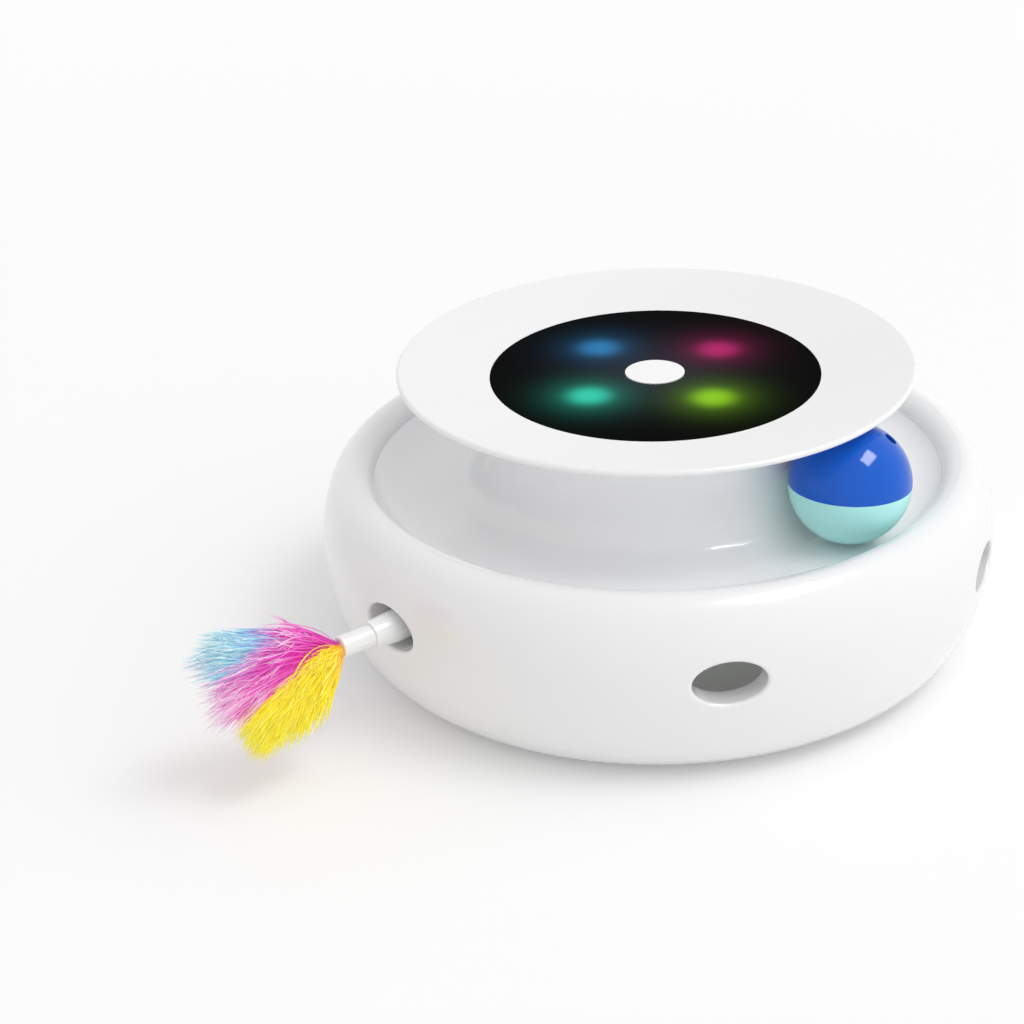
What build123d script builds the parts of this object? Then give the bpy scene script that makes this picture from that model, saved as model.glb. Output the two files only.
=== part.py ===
from build123d import *
import os
from math import acos, asin, cos, degrees, pi, radians, sin, sqrt, tan

os.makedirs("parts", exist_ok=True)

# An automatic cat toy: a round housing with a ball track on top and a feather that comes out of holes in it.
# Millimetres, +Z up. The origin is on the toy's axis, where it stands. The feather points along -X.

# Clearances and cuts
overrun = 4.0
seat_gap = 0.15
run_gap = 0.35
shaft_gap = 0.05
press_gap = 0.02

# Housing wall and rim
foot_inset = 22.0
shoulder = 12.0
lip_reach = 6.1
foot_height = 1.6
widest_lift = 1.6
crest_rise = 11.5
lip_depth = 6.0
wall = 2.4
ledge_width = 3.0

# Oval holes in the wall
hole_count = 6
hole_width = 24.0
hole_tall = 14.8
hole_edge = 1.0
sleeve_wall = 2.0
sleeve_depth = 6.5

# Ball and its track
ball_diameter = 40.0
ball_wall = 1.8
ball_turn = -77.5
ball_tilt = 3.4
ball_hole_diameter = 4.6
ball_hole_latitude = 51.0
ball_hole_turn = -42.0
ball_lean_turn = 22.0
bell_diameter = 13.0
bell_slot = 1.6
track_reach = 19.4
track_half_width = 8.0
track_wall = 2.2

# Column
ball_side_gap = 0.9
waist_gap = 10.6
column_flare = 4.4
column_foot_rise = 7.1
column_foot_flare = 2.6
standoff_height = 2.2
standoff_diameter = 6.0
flange_thickness = 2.5
flange_gap = 5.5

# Cap and display panel
cap_inset = 9.8
cap_wall = 2.2
cap_head_gap = 0.9
dish_depth = 4.6
panel_inset = 5.4
panel_thickness = 2.0
pocket_wall = 1.2
panel_ledge_width = 5.2
panel_ledge_thickness = 2.2
spigot_wall = 2.4
spigot_length = 3.6

# Button and switch
button_diameter = 20.0
button_rise = 0.2
button_dome = 0.3
button_dome_share = 0.75
button_flange = 1.6
button_flange_thickness = 1.3
button_travel = 0.8
switch_width = 6.0
switch_foot = 0.5
plunger_diameter = 3.4

# Control board and lamps
board_edge = 3.4
board_thickness = 1.6
led_ring_share = 0.5058
led_diameter = 5.0
led_length = 4.3
led_flange = 0.5
led_gap = 1.0

# Screws
screw_diameter = 2.6
screw_head_diameter = 5.0
screw_head_thickness = 1.4
screw_length = 7.0
screw_bite = 1.7
boss_diameter = 8.0
boss_height = 11.0
base_screw_count = 6
base_screw_inset = 7.5
cap_screw_count = 3
cap_screw_gap = 3.6
cap_screw_turn = 60.0
board_screw_count = 3
board_screw_gap = 2.6
deck_screw_count = 4
deck_screw_inset = 4.0
deck_screw_turn = 45.0
track_screw_inset = 6.9
head_recess = 1.4
head_gap = 0.2
ratchet_screw_count = 3
ratchet_screw_inset = 2.8
ratchet_screw_turn = 45.0
holder_screw_inset = 10.0

# Base plate, feet and battery bay
plate_thickness = 3.2
foot_ring_inset = 21.0
foot_ring_width = 7.0
foot_ring_seat = 1.0
cell_count = 4
cell_diameter = 14.2
cell_length = 49.0
cell_nub_diameter = 5.5
cell_nub_length = 1.2
cell_gap = 0.7
contact_thickness = 0.6
contact_width = 9.0
contact_button_diameter = 6.0
contact_button_length = 2.0
bay_wall = 1.6
bay_headroom = 1.2
door_thickness = 2.6
door_pin_diameter = 1.4
door_pin_length = 1.6
door_grip_count = 4
door_grip_pitch = 3.0
door_grip_width = 20.0
door_grip_groove = 1.2
door_grip_depth = 0.7
door_grip_inset = 9.0

# Turret bearing
shoulder_radius = 17.5
shoulder_rise = 2.7
post_radius = 6.0
post_rise = 3.3
thrust_thickness = 1.0
retainer_radius = 8.6
retainer_thickness = 1.0
turret_inset = 22.0
turret_thickness = 3.0
turret_hub_drop = 1.8
bed_inset = 31.0
bed_half_width = 16.0
window_count = 4
window_radius = 11.0
window_turn = 40.0

# Carriage and its rails
rail_height = 4.8
rail_lip = 3.0
rail_lip_thickness = 1.8
rail_leg = 5.0
rail_screw_inset = 9.0
rail_screw_spacing = 35.0
slider_half_width = 9.0
slider_inset = 4.0
slider_length = 50.0
slider_cheek = 3.0
slider_cheek_rise = 4.2

# Rack and pinion
gear_module = 1.0
pinion_teeth = 16
pressure_angle = 20.0
tooth_addendum = 0.8
tooth_dedendum = 1.05
tooth_backlash = 0.2
rack_reach = 8.0
rack_lead = 22.0
rack_thickness = 3.4
rack_back = 3.9

# Drive
deck_edge = 0.5
deck_thickness = 2.4
deck_over_rack = 0.8
pinion_lift = 1.45
tower_diameter = 12.0
tower_height = 20.0
bush_diameter = 8.0
bush_length = 5.0
drive_shaft_diameter = 4.0
pulley_spacing = 2.5
motor_diameter = 20.0
motor_flat = 15.4
shaft_board_gap = 0.85
motor_nose_diameter = 6.2
motor_nose_length = 1.4
motor_shaft_diameter = 2.0
motor_shaft_depth = 9.0
motor_cup_wall = 1.8
motor_cup_height = 9.0
pulley_gap = 0.6
pulley_width = 5.0
pulley_groove_width = 2.8
pulley_groove_depth = 2.0
drive_pulley_radius = 19.0
motor_pulley_radius = 6.5
belt_diameter = 2.4
belt_gap = 0.1
shaft_end = 0.7

# Ratchet and pawl
ratchet_gap = 2.1
ratchet_width = 9.4
ratchet_notch_depth = 4.5
ratchet_thickness = 3.0
notch_wall_angle = 10.0
notch_floor_angle = 9.0
notch_ramp_angle = 27.0
pawl_pivot_x = 17.0
pawl_pivot_gap = 6.0
pawl_boss_radius = 4.0
pawl_tip_half_width = 1.4
pawl_tip_gap = 0.7
pawl_pin_diameter = 3.0
pawl_pin_head = 5.0
pawl_pin_head_thickness = 0.8
pawl_spring_diameter = 6.6
pawl_spring_bore = 3.6

# Feather
holder_diameter = 10.5
holder_tip_diameter = 9.0
holder_taper = 9.0
holder_reach = 7.0
holder_lift = 0.3
stem_diameter = 7.3
stem_socket = 14.0
stem_reach = 12.0
stem_edge = 0.8
plume_length = 58.0
plume_rise = 20.0
plume_droop = 24.0
plume_half_width = 11.0
plume_rows = 9
plume_columns = 3
plume_blade_width = 2.6
plume_blade_thickness = 2.2
plume_root_width = 0.5
plume_tip_width = 0.6
plume_widest_share = 0.62
plume_round_share = 0.18
plume_root_share = 0.9

# Heights that follow, from the floor up
plate_top = foot_height + plate_thickness
bay_floor = foot_height + door_thickness + run_gap
bay_ceiling = bay_floor + cell_diameter + bay_headroom
bay_top = bay_ceiling + bay_wall
shoulder_top = bay_top + shoulder_rise
post_top = shoulder_top + post_rise
hub_bottom = shoulder_top + thrust_thickness
turret_bottom = hub_bottom + turret_hub_drop
turret_top = turret_bottom + turret_thickness
rail_top = turret_top + rail_height
holder_radius = holder_diameter / 2
hole_height = rail_top + holder_lift + holder_radius
rack_bottom = hole_height + holder_radius + pinion_lift
rack_top = rack_bottom + rack_thickness
deck_bottom = rack_top + deck_over_rack
deck_top = deck_bottom + deck_thickness
track_underside = deck_top
track_height = track_underside + track_wall
widest_height = hole_height + widest_lift
crest_height = track_height + crest_rise
lip_height = crest_height - lip_depth
ball_radius = ball_diameter / 2
ball_height = track_height + run_gap + ball_radius

# Radii that follow, from the drive in the column out to the wall
motor_offset = drive_pulley_radius + motor_pulley_radius + pulley_spacing
flange_radius = motor_offset + motor_pulley_radius + flange_gap
board_screw_radius = flange_radius + board_screw_gap
board_radius = board_screw_radius + board_edge
cap_screw_radius = board_radius + cap_screw_gap
button_flange_radius = button_diameter / 2 + button_flange
led_ring_radius = button_flange_radius + led_ring_share * (board_radius - button_flange_radius)
waist_radius = board_radius + waist_gap
column_radius = waist_radius + column_flare
panel_radius = column_radius - panel_inset
track_radius = waist_radius + ball_side_gap + ball_radius
deck_radius = track_radius + deck_edge
deck_screw_radius = deck_radius - deck_screw_inset
lip_radius = track_radius + track_reach
cap_radius = lip_radius - cap_inset
track_screw_radius = lip_radius - track_screw_inset
crest_radius = lip_radius + lip_reach
base_radius = crest_radius + shoulder
floor_radius = base_radius - foot_inset
base_screw_radius = floor_radius - base_screw_inset
foot_ring_radius = floor_radius - foot_ring_inset
ratchet_inner_radius = shoulder_radius + ratchet_gap
ratchet_outer_radius = ratchet_inner_radius + ratchet_width
ratchet_screw_radius = ratchet_inner_radius + ratchet_screw_inset
pawl_pivot_y = ratchet_outer_radius + pawl_pivot_gap
pitch_radius = gear_module * pinion_teeth / 2
bay_width = cell_count * (cell_diameter + cell_gap) + cell_gap
bay_length = cell_length + cell_nub_length + contact_button_length + 2 * contact_thickness

# Places along the feather that follow, from the wall
bed_half_length = base_radius - bed_inset
turret_radius = bed_half_length - turret_inset
rail_screw_far = bed_half_length - rail_screw_inset
rail_screw_near = rail_screw_far - rail_screw_spacing
slider_front = bed_half_length - slider_inset
rack_front = slider_front + rack_lead
holder_front = base_radius + holder_reach
holder_rear = slider_front - slider_length
stem_front = holder_front + stem_reach
holder_screw_front = holder_screw_inset - slider_front
holder_screw_back = slider_length - slider_front - holder_screw_inset
holder_screw_places = [(holder_screw_front, 0), (holder_screw_back, 0)]

# Heights in the column that follow, from the ball's headroom down to the motor
dish_slope = dish_depth / (cap_radius - panel_radius)
dish_over_ball = ball_height + ball_radius + cap_head_gap + cap_wall
panel_height = dish_over_ball - dish_slope * (track_radius - panel_radius)
panel_seat = panel_height - panel_thickness
column_top = panel_height + dish_slope * (column_radius - panel_radius) - cap_wall
board_top = panel_seat - led_gap - led_length
board_bottom = board_top - board_thickness
flange_top = board_bottom - standoff_height
flange_bottom = flange_top - flange_thickness
shaft_top = board_bottom - shaft_board_gap
pulley_top = shaft_top - shaft_end
pulley_bottom = pulley_top - pulley_width
motor_top = pulley_bottom - pulley_gap - motor_nose_length
motor_length = motor_top - deck_top

# Screw depths and angles that follow
board_screw_bite = standoff_height + flange_thickness / 2
ratchet_screw_bite = bay_wall - head_gap
turret_screw_bite = post_rise + shoulder_rise
hole_angles = [360 / hole_count * index for index in range(hole_count)]
between_holes = 180 / hole_count


def upright(radius, angle):
    """A plane on a circle about the toy's axis, facing straight out, with its Y axis up."""
    turn = radians(angle)
    centre = (radius * cos(turn), radius * sin(turn), hole_height)
    return Plane(origin=centre, x_dir=(-sin(turn), cos(turn), 0), z_dir=(cos(turn), sin(turn), 0))


def polar(radius, angle):
    """A point in the plan at a radius and an angle in degrees."""
    return (radius * cos(radians(angle)), radius * sin(radians(angle)))


def ring_places(radius, count, first):
    """Points evenly spaced on a circle in the plan, the first at an angle in degrees."""
    return [polar(radius, first + 360 / count * index) for index in range(count)]


def axis_distance(point):
    """How far a point lies from the toy's axis."""
    return sqrt(point.X**2 + point.Y**2)


def arc_radius(run, rise):
    """The radius of an arc that starts level and has risen by rise after a run."""
    return (run**2 + rise**2) / (2 * rise)


def screw(head_bottom, length, points_up=True):
    """One cross-head screw on the Z axis, with its head's bearing face at head_bottom."""
    way = 1 if points_up else -1
    with BuildPart() as made:
        with BuildSketch(Plane.XY.offset(head_bottom)):
            Circle(screw_head_diameter / 2)
        extrude(amount=-way * screw_head_thickness)
        with BuildSketch(Plane.XY.offset(head_bottom)):
            Circle(screw_diameter / 2)
        extrude(amount=way * length)
        with BuildSketch(Plane.XY.offset(head_bottom - way * screw_head_thickness)):
            Rectangle(screw_head_diameter / 2, screw_head_diameter / 8)
            Rectangle(screw_head_diameter / 8, screw_head_diameter / 2)
        extrude(amount=way * screw_head_thickness / 2, mode=Mode.SUBTRACT)
    return made.part


def finish(builder, name):
    """Label a finished piece and write it to its own file."""
    builder.part.label = name
    export_step(builder.part, f"parts/{name}.step")


# Housing: a bun-shaped wall that curls over into a rolled rim, with a ledge inside the rim for the track
skirt_radius = lip_radius - press_gap
lip_wall_radius = lip_radius + wall
ledge_bottom = track_underside - wall
sleeve_radius = base_radius - wall - sleeve_depth
hole_planes = [upright(sleeve_radius, angle) for angle in hole_angles]
low_centre = (floor_radius, widest_height)
upper_centre = (crest_radius, widest_height)
lip_centre = (crest_radius, lip_height)
low_rise = widest_height - foot_height
upper_rise = crest_height - widest_height

with BuildPart() as outer_shell:
    with BuildSketch(Plane.XZ):
        with BuildLine():
            EllipticalCenterArc(low_centre, foot_inset, low_rise, start_angle=270, arc_size=90)
            EllipticalCenterArc(upper_centre, shoulder, upper_rise, start_angle=0, arc_size=90)
            EllipticalCenterArc(lip_centre, lip_reach, lip_depth, start_angle=90, arc_size=90)
            Polyline(
                (lip_radius, lip_height),
                (lip_radius, track_underside),
                (lip_radius - ledge_width, track_underside),
                (lip_radius - ledge_width, ledge_bottom),
                (lip_wall_radius, ledge_bottom),
                (lip_wall_radius, lip_height),
            )
            EllipticalCenterArc(lip_centre, lip_reach - wall, lip_depth - wall, start_angle=90, arc_size=90)
            EllipticalCenterArc(upper_centre, shoulder - wall, upper_rise - wall, start_angle=0, arc_size=90)
            EllipticalCenterArc(low_centre, foot_inset - wall, low_rise - wall, start_angle=270, arc_size=90)
            Line((floor_radius, foot_height + wall), (floor_radius, foot_height))
        make_face()
    revolve(axis=Axis.Z)
    with BuildSketch(*hole_planes):
        Ellipse(hole_width / 2 + sleeve_wall, hole_tall / 2 + sleeve_wall)
    extrude(amount=sleeve_depth + wall + overrun)
    with BuildSketch(Plane.XY.offset(plate_top)):
        with PolarLocations(base_screw_radius, base_screw_count, start_angle=between_holes):
            Circle(boss_diameter / 2)
            with Locations((foot_inset / 2, 0)):
                Rectangle(foot_inset, wall)
    extrude(amount=boss_height)
    with BuildSketch(Plane.XY.offset(ledge_bottom)):
        with PolarLocations(track_screw_radius, hole_count, start_angle=between_holes):
            Circle(boss_diameter / 2)
            with Locations((boss_diameter / 2, 0)):
                Rectangle(boss_diameter, boss_diameter)
    extrude(amount=wall)
    with BuildSketch(Plane.XZ):
        with BuildLine():
            EllipticalCenterArc(low_centre, foot_inset, low_rise, start_angle=270, arc_size=90)
            EllipticalCenterArc(upper_centre, shoulder, upper_rise, start_angle=0, arc_size=90)
            Polyline(
                (crest_radius, crest_height),
                (0, crest_height),
                (0, foot_height),
                (floor_radius, foot_height),
            )
        make_face()
    revolve(axis=Axis.Z, mode=Mode.INTERSECT)
    with BuildSketch(*hole_planes):
        Ellipse(hole_width / 2, hole_tall / 2)
    extrude(amount=sleeve_depth + wall + overrun, both=True, mode=Mode.SUBTRACT)
    with BuildSketch(Plane.XY.offset(plate_top)):
        with PolarLocations(base_screw_radius, base_screw_count, start_angle=between_holes):
            Circle(screw_diameter / 2 + press_gap)
    extrude(amount=boss_height - wall, mode=Mode.SUBTRACT)
    with BuildSketch(Plane.XY.offset(ledge_bottom)):
        with PolarLocations(track_screw_radius, hole_count, start_angle=between_holes):
            Circle(screw_diameter / 2 + seat_gap)
    extrude(amount=wall, mode=Mode.SUBTRACT)
    with BuildSketch(Plane.XY.offset(ledge_bottom)):
        with PolarLocations(track_screw_radius, hole_count, start_angle=between_holes):
            Circle(screw_head_diameter / 2 + seat_gap)
    extrude(amount=head_recess, mode=Mode.SUBTRACT)
    mouths = outer_shell.edges().filter_by(lambda edge: axis_distance(edge.center()) > base_radius - wall)
    fillet(mouths, hole_edge)
finish(outer_shell, "outer_shell")

# Track and column: a ring trough for the ball that sweeps up into a waisted column with a flange in its top
floor_outer = (track_radius + track_half_width, track_height)
floor_inner = (track_radius - track_half_width, track_height)
slope_radius = arc_radius(skirt_radius - floor_outer[0], lip_height - track_height)
skirt_inner = skirt_radius - track_wall
skirt_run = skirt_inner - floor_outer[0]
skirt_drop = sqrt((slope_radius + track_wall) ** 2 - skirt_run**2)
foot_point = (waist_radius + column_foot_flare, track_height + column_foot_rise)
foot_radius = arc_radius(floor_inner[0] - foot_point[0], column_foot_rise)
foot_angle = asin((floor_inner[0] - foot_point[0]) / foot_radius)
foot_inner = (foot_point[0] - wall * sin(foot_angle), foot_point[1] - wall * cos(foot_angle))

with BuildPart() as track_column:
    with BuildSketch(Plane.XZ):
        with BuildLine():
            TangentArc(floor_outer, (skirt_radius, lip_height), tangent=(1, 0))
            Line(floor_outer, floor_inner)
            TangentArc(floor_inner, foot_point, tangent=(-1, 0))
            ThreePointArc(foot_point, (waist_radius, ball_height), (column_radius, column_top))
            Line((column_radius, column_top), (column_radius - wall, column_top))
            ThreePointArc(foot_inner, (waist_radius - wall, ball_height), (column_radius - wall, column_top))
            TangentArc((floor_inner[0], track_underside), foot_inner, tangent=(-1, 0))
            Line((floor_inner[0], track_underside), (floor_outer[0], track_underside))
            slope_end = (skirt_inner, track_height + slope_radius - skirt_drop)
            TangentArc((floor_outer[0], track_underside), slope_end, tangent=(1, 0))
            Polyline(slope_end, (skirt_inner, track_underside), (skirt_radius, track_underside))
            Line((skirt_radius, track_underside), (skirt_radius, lip_height))
        make_face()
    revolve(axis=Axis.Z)
    with BuildSketch(Plane.XY.offset(flange_bottom)):
        Circle(waist_radius - wall / 2)
        Circle(flange_radius, mode=Mode.SUBTRACT)
    extrude(amount=flange_thickness)
    with BuildSketch(Plane.XY.offset(flange_top)):
        with PolarLocations(board_screw_radius, board_screw_count):
            Circle(standoff_diameter / 2)
    extrude(amount=standoff_height)
    with BuildSketch(Plane.XY.offset(flange_bottom)):
        with PolarLocations(cap_screw_radius, cap_screw_count, start_angle=cap_screw_turn):
            Circle(screw_diameter / 2 + seat_gap)
    extrude(amount=flange_thickness, mode=Mode.SUBTRACT)
    with BuildSketch(Plane.XY.offset(board_bottom)):
        with PolarLocations(board_screw_radius, board_screw_count):
            Circle(screw_diameter / 2 + press_gap)
    extrude(amount=-board_screw_bite, mode=Mode.SUBTRACT)
    with BuildSketch(Plane.XY.offset(track_underside)):
        with PolarLocations(track_screw_radius, hole_count, start_angle=between_holes):
            Circle(boss_diameter / 2 - seat_gap)
    extrude(until=Until.NEXT)
    with BuildSketch(Plane.XY.offset(track_underside)):
        with PolarLocations(track_screw_radius, hole_count, start_angle=between_holes):
            Circle(screw_diameter / 2 + press_gap)
        with PolarLocations(deck_screw_radius, deck_screw_count, start_angle=deck_screw_turn):
            Circle(screw_diameter / 2 + press_gap)
    extrude(amount=screw_bite, mode=Mode.SUBTRACT)
finish(track_column, "track_column")

# Top cap: a shallow dish on the column, with a pocket for the panel, screw bosses and a locating spigot
cap_edge = cap_radius - cap_wall / 2
cap_height = panel_height + dish_slope * (cap_edge - panel_radius)
pocket_radius = panel_radius + seat_gap
panel_ledge_bottom = panel_seat - panel_ledge_thickness
spigot_radius = waist_radius - wall - seat_gap

with BuildPart() as top_cap:
    with BuildSketch(Plane.XZ):
        with BuildLine():
            Polyline(
                (cap_edge, cap_height),
                (pocket_radius, panel_height),
                (pocket_radius, panel_seat),
                (panel_radius - panel_ledge_width, panel_seat),
                (panel_radius - panel_ledge_width, panel_ledge_bottom),
                (spigot_radius - spigot_wall, panel_ledge_bottom),
                (spigot_radius - spigot_wall, panel_ledge_bottom - spigot_length),
                (spigot_radius, panel_ledge_bottom - spigot_length),
                (spigot_radius, panel_ledge_bottom),
                (pocket_radius + pocket_wall, panel_ledge_bottom),
                (pocket_radius + pocket_wall, column_top),
                (column_radius, column_top),
                (cap_edge, cap_height - cap_wall),
            )
            ThreePointArc(
                (cap_edge, cap_height - cap_wall),
                (cap_radius, cap_height - cap_wall / 2),
                (cap_edge, cap_height),
            )
        make_face()
    revolve(axis=Axis.Z)
    with BuildSketch(Plane.XY.offset(flange_top)):
        with PolarLocations(cap_screw_radius, cap_screw_count, start_angle=cap_screw_turn):
            Circle(boss_diameter / 2 - seat_gap)
    extrude(amount=panel_ledge_bottom - flange_top)
    with BuildSketch(Plane.XY.offset(flange_top)):
        with PolarLocations(cap_screw_radius, cap_screw_count, start_angle=cap_screw_turn):
            Circle(screw_diameter / 2 + press_gap)
    extrude(amount=panel_ledge_bottom - flange_top, mode=Mode.SUBTRACT)
finish(top_cap, "top_cap")

# Display panel: a smoked disc that lies in the cap's pocket, with a hole for the button
button_hole = button_diameter / 2 + run_gap
with BuildPart() as display_panel:
    with BuildSketch(Plane.XY.offset(panel_seat)):
        Circle(panel_radius)
        Circle(button_hole, mode=Mode.SUBTRACT)
    extrude(amount=panel_thickness)
finish(display_panel, "display_panel")

# Button: a domed cap whose flange is kept in by the panel, standing on the switch's plunger
flange_top_height = panel_seat - run_gap
button_bottom = flange_top_height - button_flange_thickness
button_top = panel_height + button_rise
with BuildPart() as button_cap:
    with BuildSketch(Plane.XZ):
        with BuildLine():
            ThreePointArc(
                (0, button_top + button_dome),
                (button_diameter / 4, button_top + button_dome * button_dome_share),
                (button_diameter / 2, button_top),
            )
            Polyline(
                (button_diameter / 2, button_top),
                (button_diameter / 2, flange_top_height),
                (button_diameter / 2 + button_flange, flange_top_height),
                (button_diameter / 2 + button_flange, button_bottom),
                (0, button_bottom),
                (0, button_top + button_dome),
            )
        make_face()
    revolve(axis=Axis.Z)
finish(button_cap, "button_cap")

# Switch on the board: a square body with a bore, and the plunger that the button pushes into it
switch_top = button_bottom - button_travel - shaft_gap
plunger_bottom = board_top + switch_foot + button_travel + shaft_gap
with BuildPart() as tact_switch:
    with BuildSketch(Plane.XY.offset(board_top)):
        Rectangle(switch_width, switch_width)
    extrude(amount=switch_top - board_top)
    with BuildSketch(Plane.XY.offset(board_top + switch_foot)):
        Circle(plunger_diameter / 2 + shaft_gap)
    extrude(amount=switch_top - board_top, mode=Mode.SUBTRACT)
finish(tact_switch, "tact_switch")

with BuildPart() as switch_plunger:
    with BuildSketch(Plane.XY.offset(plunger_bottom)):
        Circle(plunger_diameter / 2)
    extrude(amount=button_bottom - plunger_bottom)
finish(switch_plunger, "switch_plunger")

# Control board: a round board on the column's standoffs
with BuildPart() as control_board:
    with BuildSketch(Plane.XY.offset(board_bottom)):
        Circle(board_radius)
        with PolarLocations(board_screw_radius, board_screw_count):
            Circle(screw_diameter / 2 + seat_gap, mode=Mode.SUBTRACT)
        with PolarLocations(cap_screw_radius, cap_screw_count, start_angle=cap_screw_turn):
            Circle(boss_diameter / 2 + run_gap, mode=Mode.SUBTRACT)
    extrude(amount=board_thickness)
finish(control_board, "control_board")

# Lamps: four round-nosed lamps on the board, one of each colour
led_names = ("led_magenta", "led_blue", "led_teal", "led_lime")
led_radius = led_diameter / 2
for index, led_name in enumerate(led_names):
    turn = radians(360 / len(led_names) * index)
    led_plane = Plane(origin=(led_ring_radius * cos(turn), led_ring_radius * sin(turn), board_top))
    with BuildPart() as led:
        with BuildSketch(led_plane):
            Circle(led_radius)
        extrude(amount=led_length)
        fillet(led.edges().sort_by(Axis.Z)[-1], led_radius - led_flange)
        with BuildSketch(led_plane):
            Circle(led_radius + led_flange)
        extrude(amount=led_flange)
    finish(led, led_name)

# Base plate: a disc inside the shell's foot, with the battery bay on it and the turret's post on the bay
hinge_y = bay_length / 2 - run_gap - door_thickness / 2
hinge_height = foot_height + door_thickness / 2
door_width = bay_width - 2 * run_gap
socket_reach = door_width / 2 + door_pin_length + run_gap
foot_ring_inner = foot_ring_radius - foot_ring_width / 2
foot_ring_outer = foot_ring_radius + foot_ring_width / 2
with BuildPart() as base_plate:
    with BuildSketch(Plane.XY.offset(foot_height)):
        Circle(floor_radius - seat_gap)
    extrude(amount=plate_thickness)
    with BuildSketch(Plane.XY.offset(foot_height)):
        Rectangle(bay_width + 2 * bay_wall, bay_length + 2 * bay_wall)
    extrude(amount=bay_top - foot_height)
    with BuildSketch(Plane.XY.offset(bay_top)):
        Circle(shoulder_radius)
    extrude(amount=shoulder_rise)
    with BuildSketch(Plane.XY.offset(shoulder_top)):
        Circle(post_radius)
    extrude(amount=post_rise)
    with BuildSketch(Plane.XY.offset(foot_height)):
        Rectangle(bay_width, bay_length)
    extrude(amount=bay_ceiling - foot_height, mode=Mode.SUBTRACT)
    with BuildSketch(Plane.YZ.offset(-socket_reach)):
        with Locations((hinge_y, hinge_height)):
            Circle(door_pin_diameter / 2 + shaft_gap)
    extrude(amount=2 * socket_reach, mode=Mode.SUBTRACT)
    with BuildSketch(Plane.XY.offset(foot_height)):
        Circle(foot_ring_outer)
        Circle(foot_ring_inner, mode=Mode.SUBTRACT)
    extrude(amount=foot_ring_seat, mode=Mode.SUBTRACT)
    with BuildSketch(Plane.XY.offset(foot_height)):
        with PolarLocations(base_screw_radius, base_screw_count, start_angle=between_holes):
            Circle(screw_diameter / 2 + seat_gap)
    extrude(amount=plate_thickness, mode=Mode.SUBTRACT)
    with BuildSketch(Plane.XY.offset(foot_height)):
        with PolarLocations(base_screw_radius, base_screw_count, start_angle=between_holes):
            Circle(screw_head_diameter / 2 + seat_gap)
    extrude(amount=screw_head_thickness + head_gap, mode=Mode.SUBTRACT)
    with BuildSketch(Plane.XY.offset(bay_top)):
        with PolarLocations(ratchet_screw_radius, ratchet_screw_count, start_angle=ratchet_screw_turn):
            Circle(screw_diameter / 2 + press_gap)
    extrude(amount=-ratchet_screw_bite, mode=Mode.SUBTRACT)
    with BuildSketch(Plane.XY.offset(post_top)):
        Circle(screw_diameter / 2 + press_gap)
    extrude(amount=-turret_screw_bite, mode=Mode.SUBTRACT)
finish(base_plate, "base_plate")

# Foot ring: a rubber ring in a groove under the base plate, which the toy stands on
with BuildPart() as foot_ring:
    with BuildSketch(Plane.XY):
        Circle(foot_ring_outer - seat_gap)
        Circle(foot_ring_inner + seat_gap, mode=Mode.SUBTRACT)
    extrude(amount=foot_height + foot_ring_seat)
finish(foot_ring, "foot_ring")

# Battery door: a plate flush with the base plate, on two short pins, with grip grooves at its free edge
with BuildPart() as battery_door:
    with BuildSketch(Plane.YZ.offset(-door_width / 2)):
        with Locations(((hinge_y - bay_length / 2 + run_gap) / 2, hinge_height)):
            Rectangle(hinge_y + bay_length / 2 - run_gap, door_thickness)
        with Locations((hinge_y, hinge_height)):
            Circle(door_thickness / 2)
    extrude(amount=door_width)
    with BuildSketch(Plane.YZ.offset(-door_width / 2 - door_pin_length)):
        with Locations((hinge_y, hinge_height)):
            Circle(door_pin_diameter / 2)
    extrude(amount=door_width + 2 * door_pin_length)
    with BuildSketch(Plane.XY.offset(foot_height)):
        with Locations((0, door_grip_inset - bay_length / 2)):
            with GridLocations(0, door_grip_pitch, 1, door_grip_count):
                SlotOverall(door_grip_width, door_grip_groove)
    extrude(amount=door_grip_depth, mode=Mode.SUBTRACT)
finish(battery_door, "battery_door")

# Battery cells: round cells side by side in the bay, every other one turned round
cell_pitch = cell_diameter + cell_gap
cell_height = bay_floor + cell_diameter / 2
cell_places = [(index - (cell_count - 1) / 2) * cell_pitch for index in range(cell_count)]
cell_ways = [1 if index % 2 == 0 else -1 for index in range(cell_count)]
spring_face = bay_length / 2 - contact_thickness - contact_button_length
with BuildPart() as battery_cells:
    for place, way in zip(cell_places, cell_ways):
        cell_plane = Plane(origin=(place, -way * spring_face, cell_height), z_dir=(0, way, 0))
        with BuildSketch(cell_plane):
            Circle(cell_diameter / 2)
        extrude(amount=cell_length)
        with BuildSketch(cell_plane.offset(cell_length)):
            Circle(cell_nub_diameter / 2)
        extrude(amount=cell_nub_length)
finish(battery_cells, "battery_cells")

# Battery contacts: a plate at each end of each cell, with a raised button at the flat end
with BuildPart() as battery_contacts:
    for place, way in zip(cell_places, cell_ways):
        contact_plane = Plane(origin=(place, -way * bay_length / 2, cell_height), z_dir=(0, way, 0))
        with BuildSketch(contact_plane, contact_plane.offset(bay_length - contact_thickness)):
            Rectangle(contact_width, contact_width)
        extrude(amount=contact_thickness)
        with BuildSketch(contact_plane.offset(contact_thickness)):
            Circle(contact_button_diameter / 2)
        extrude(amount=contact_button_length)
finish(battery_contacts, "battery_contacts")

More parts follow.
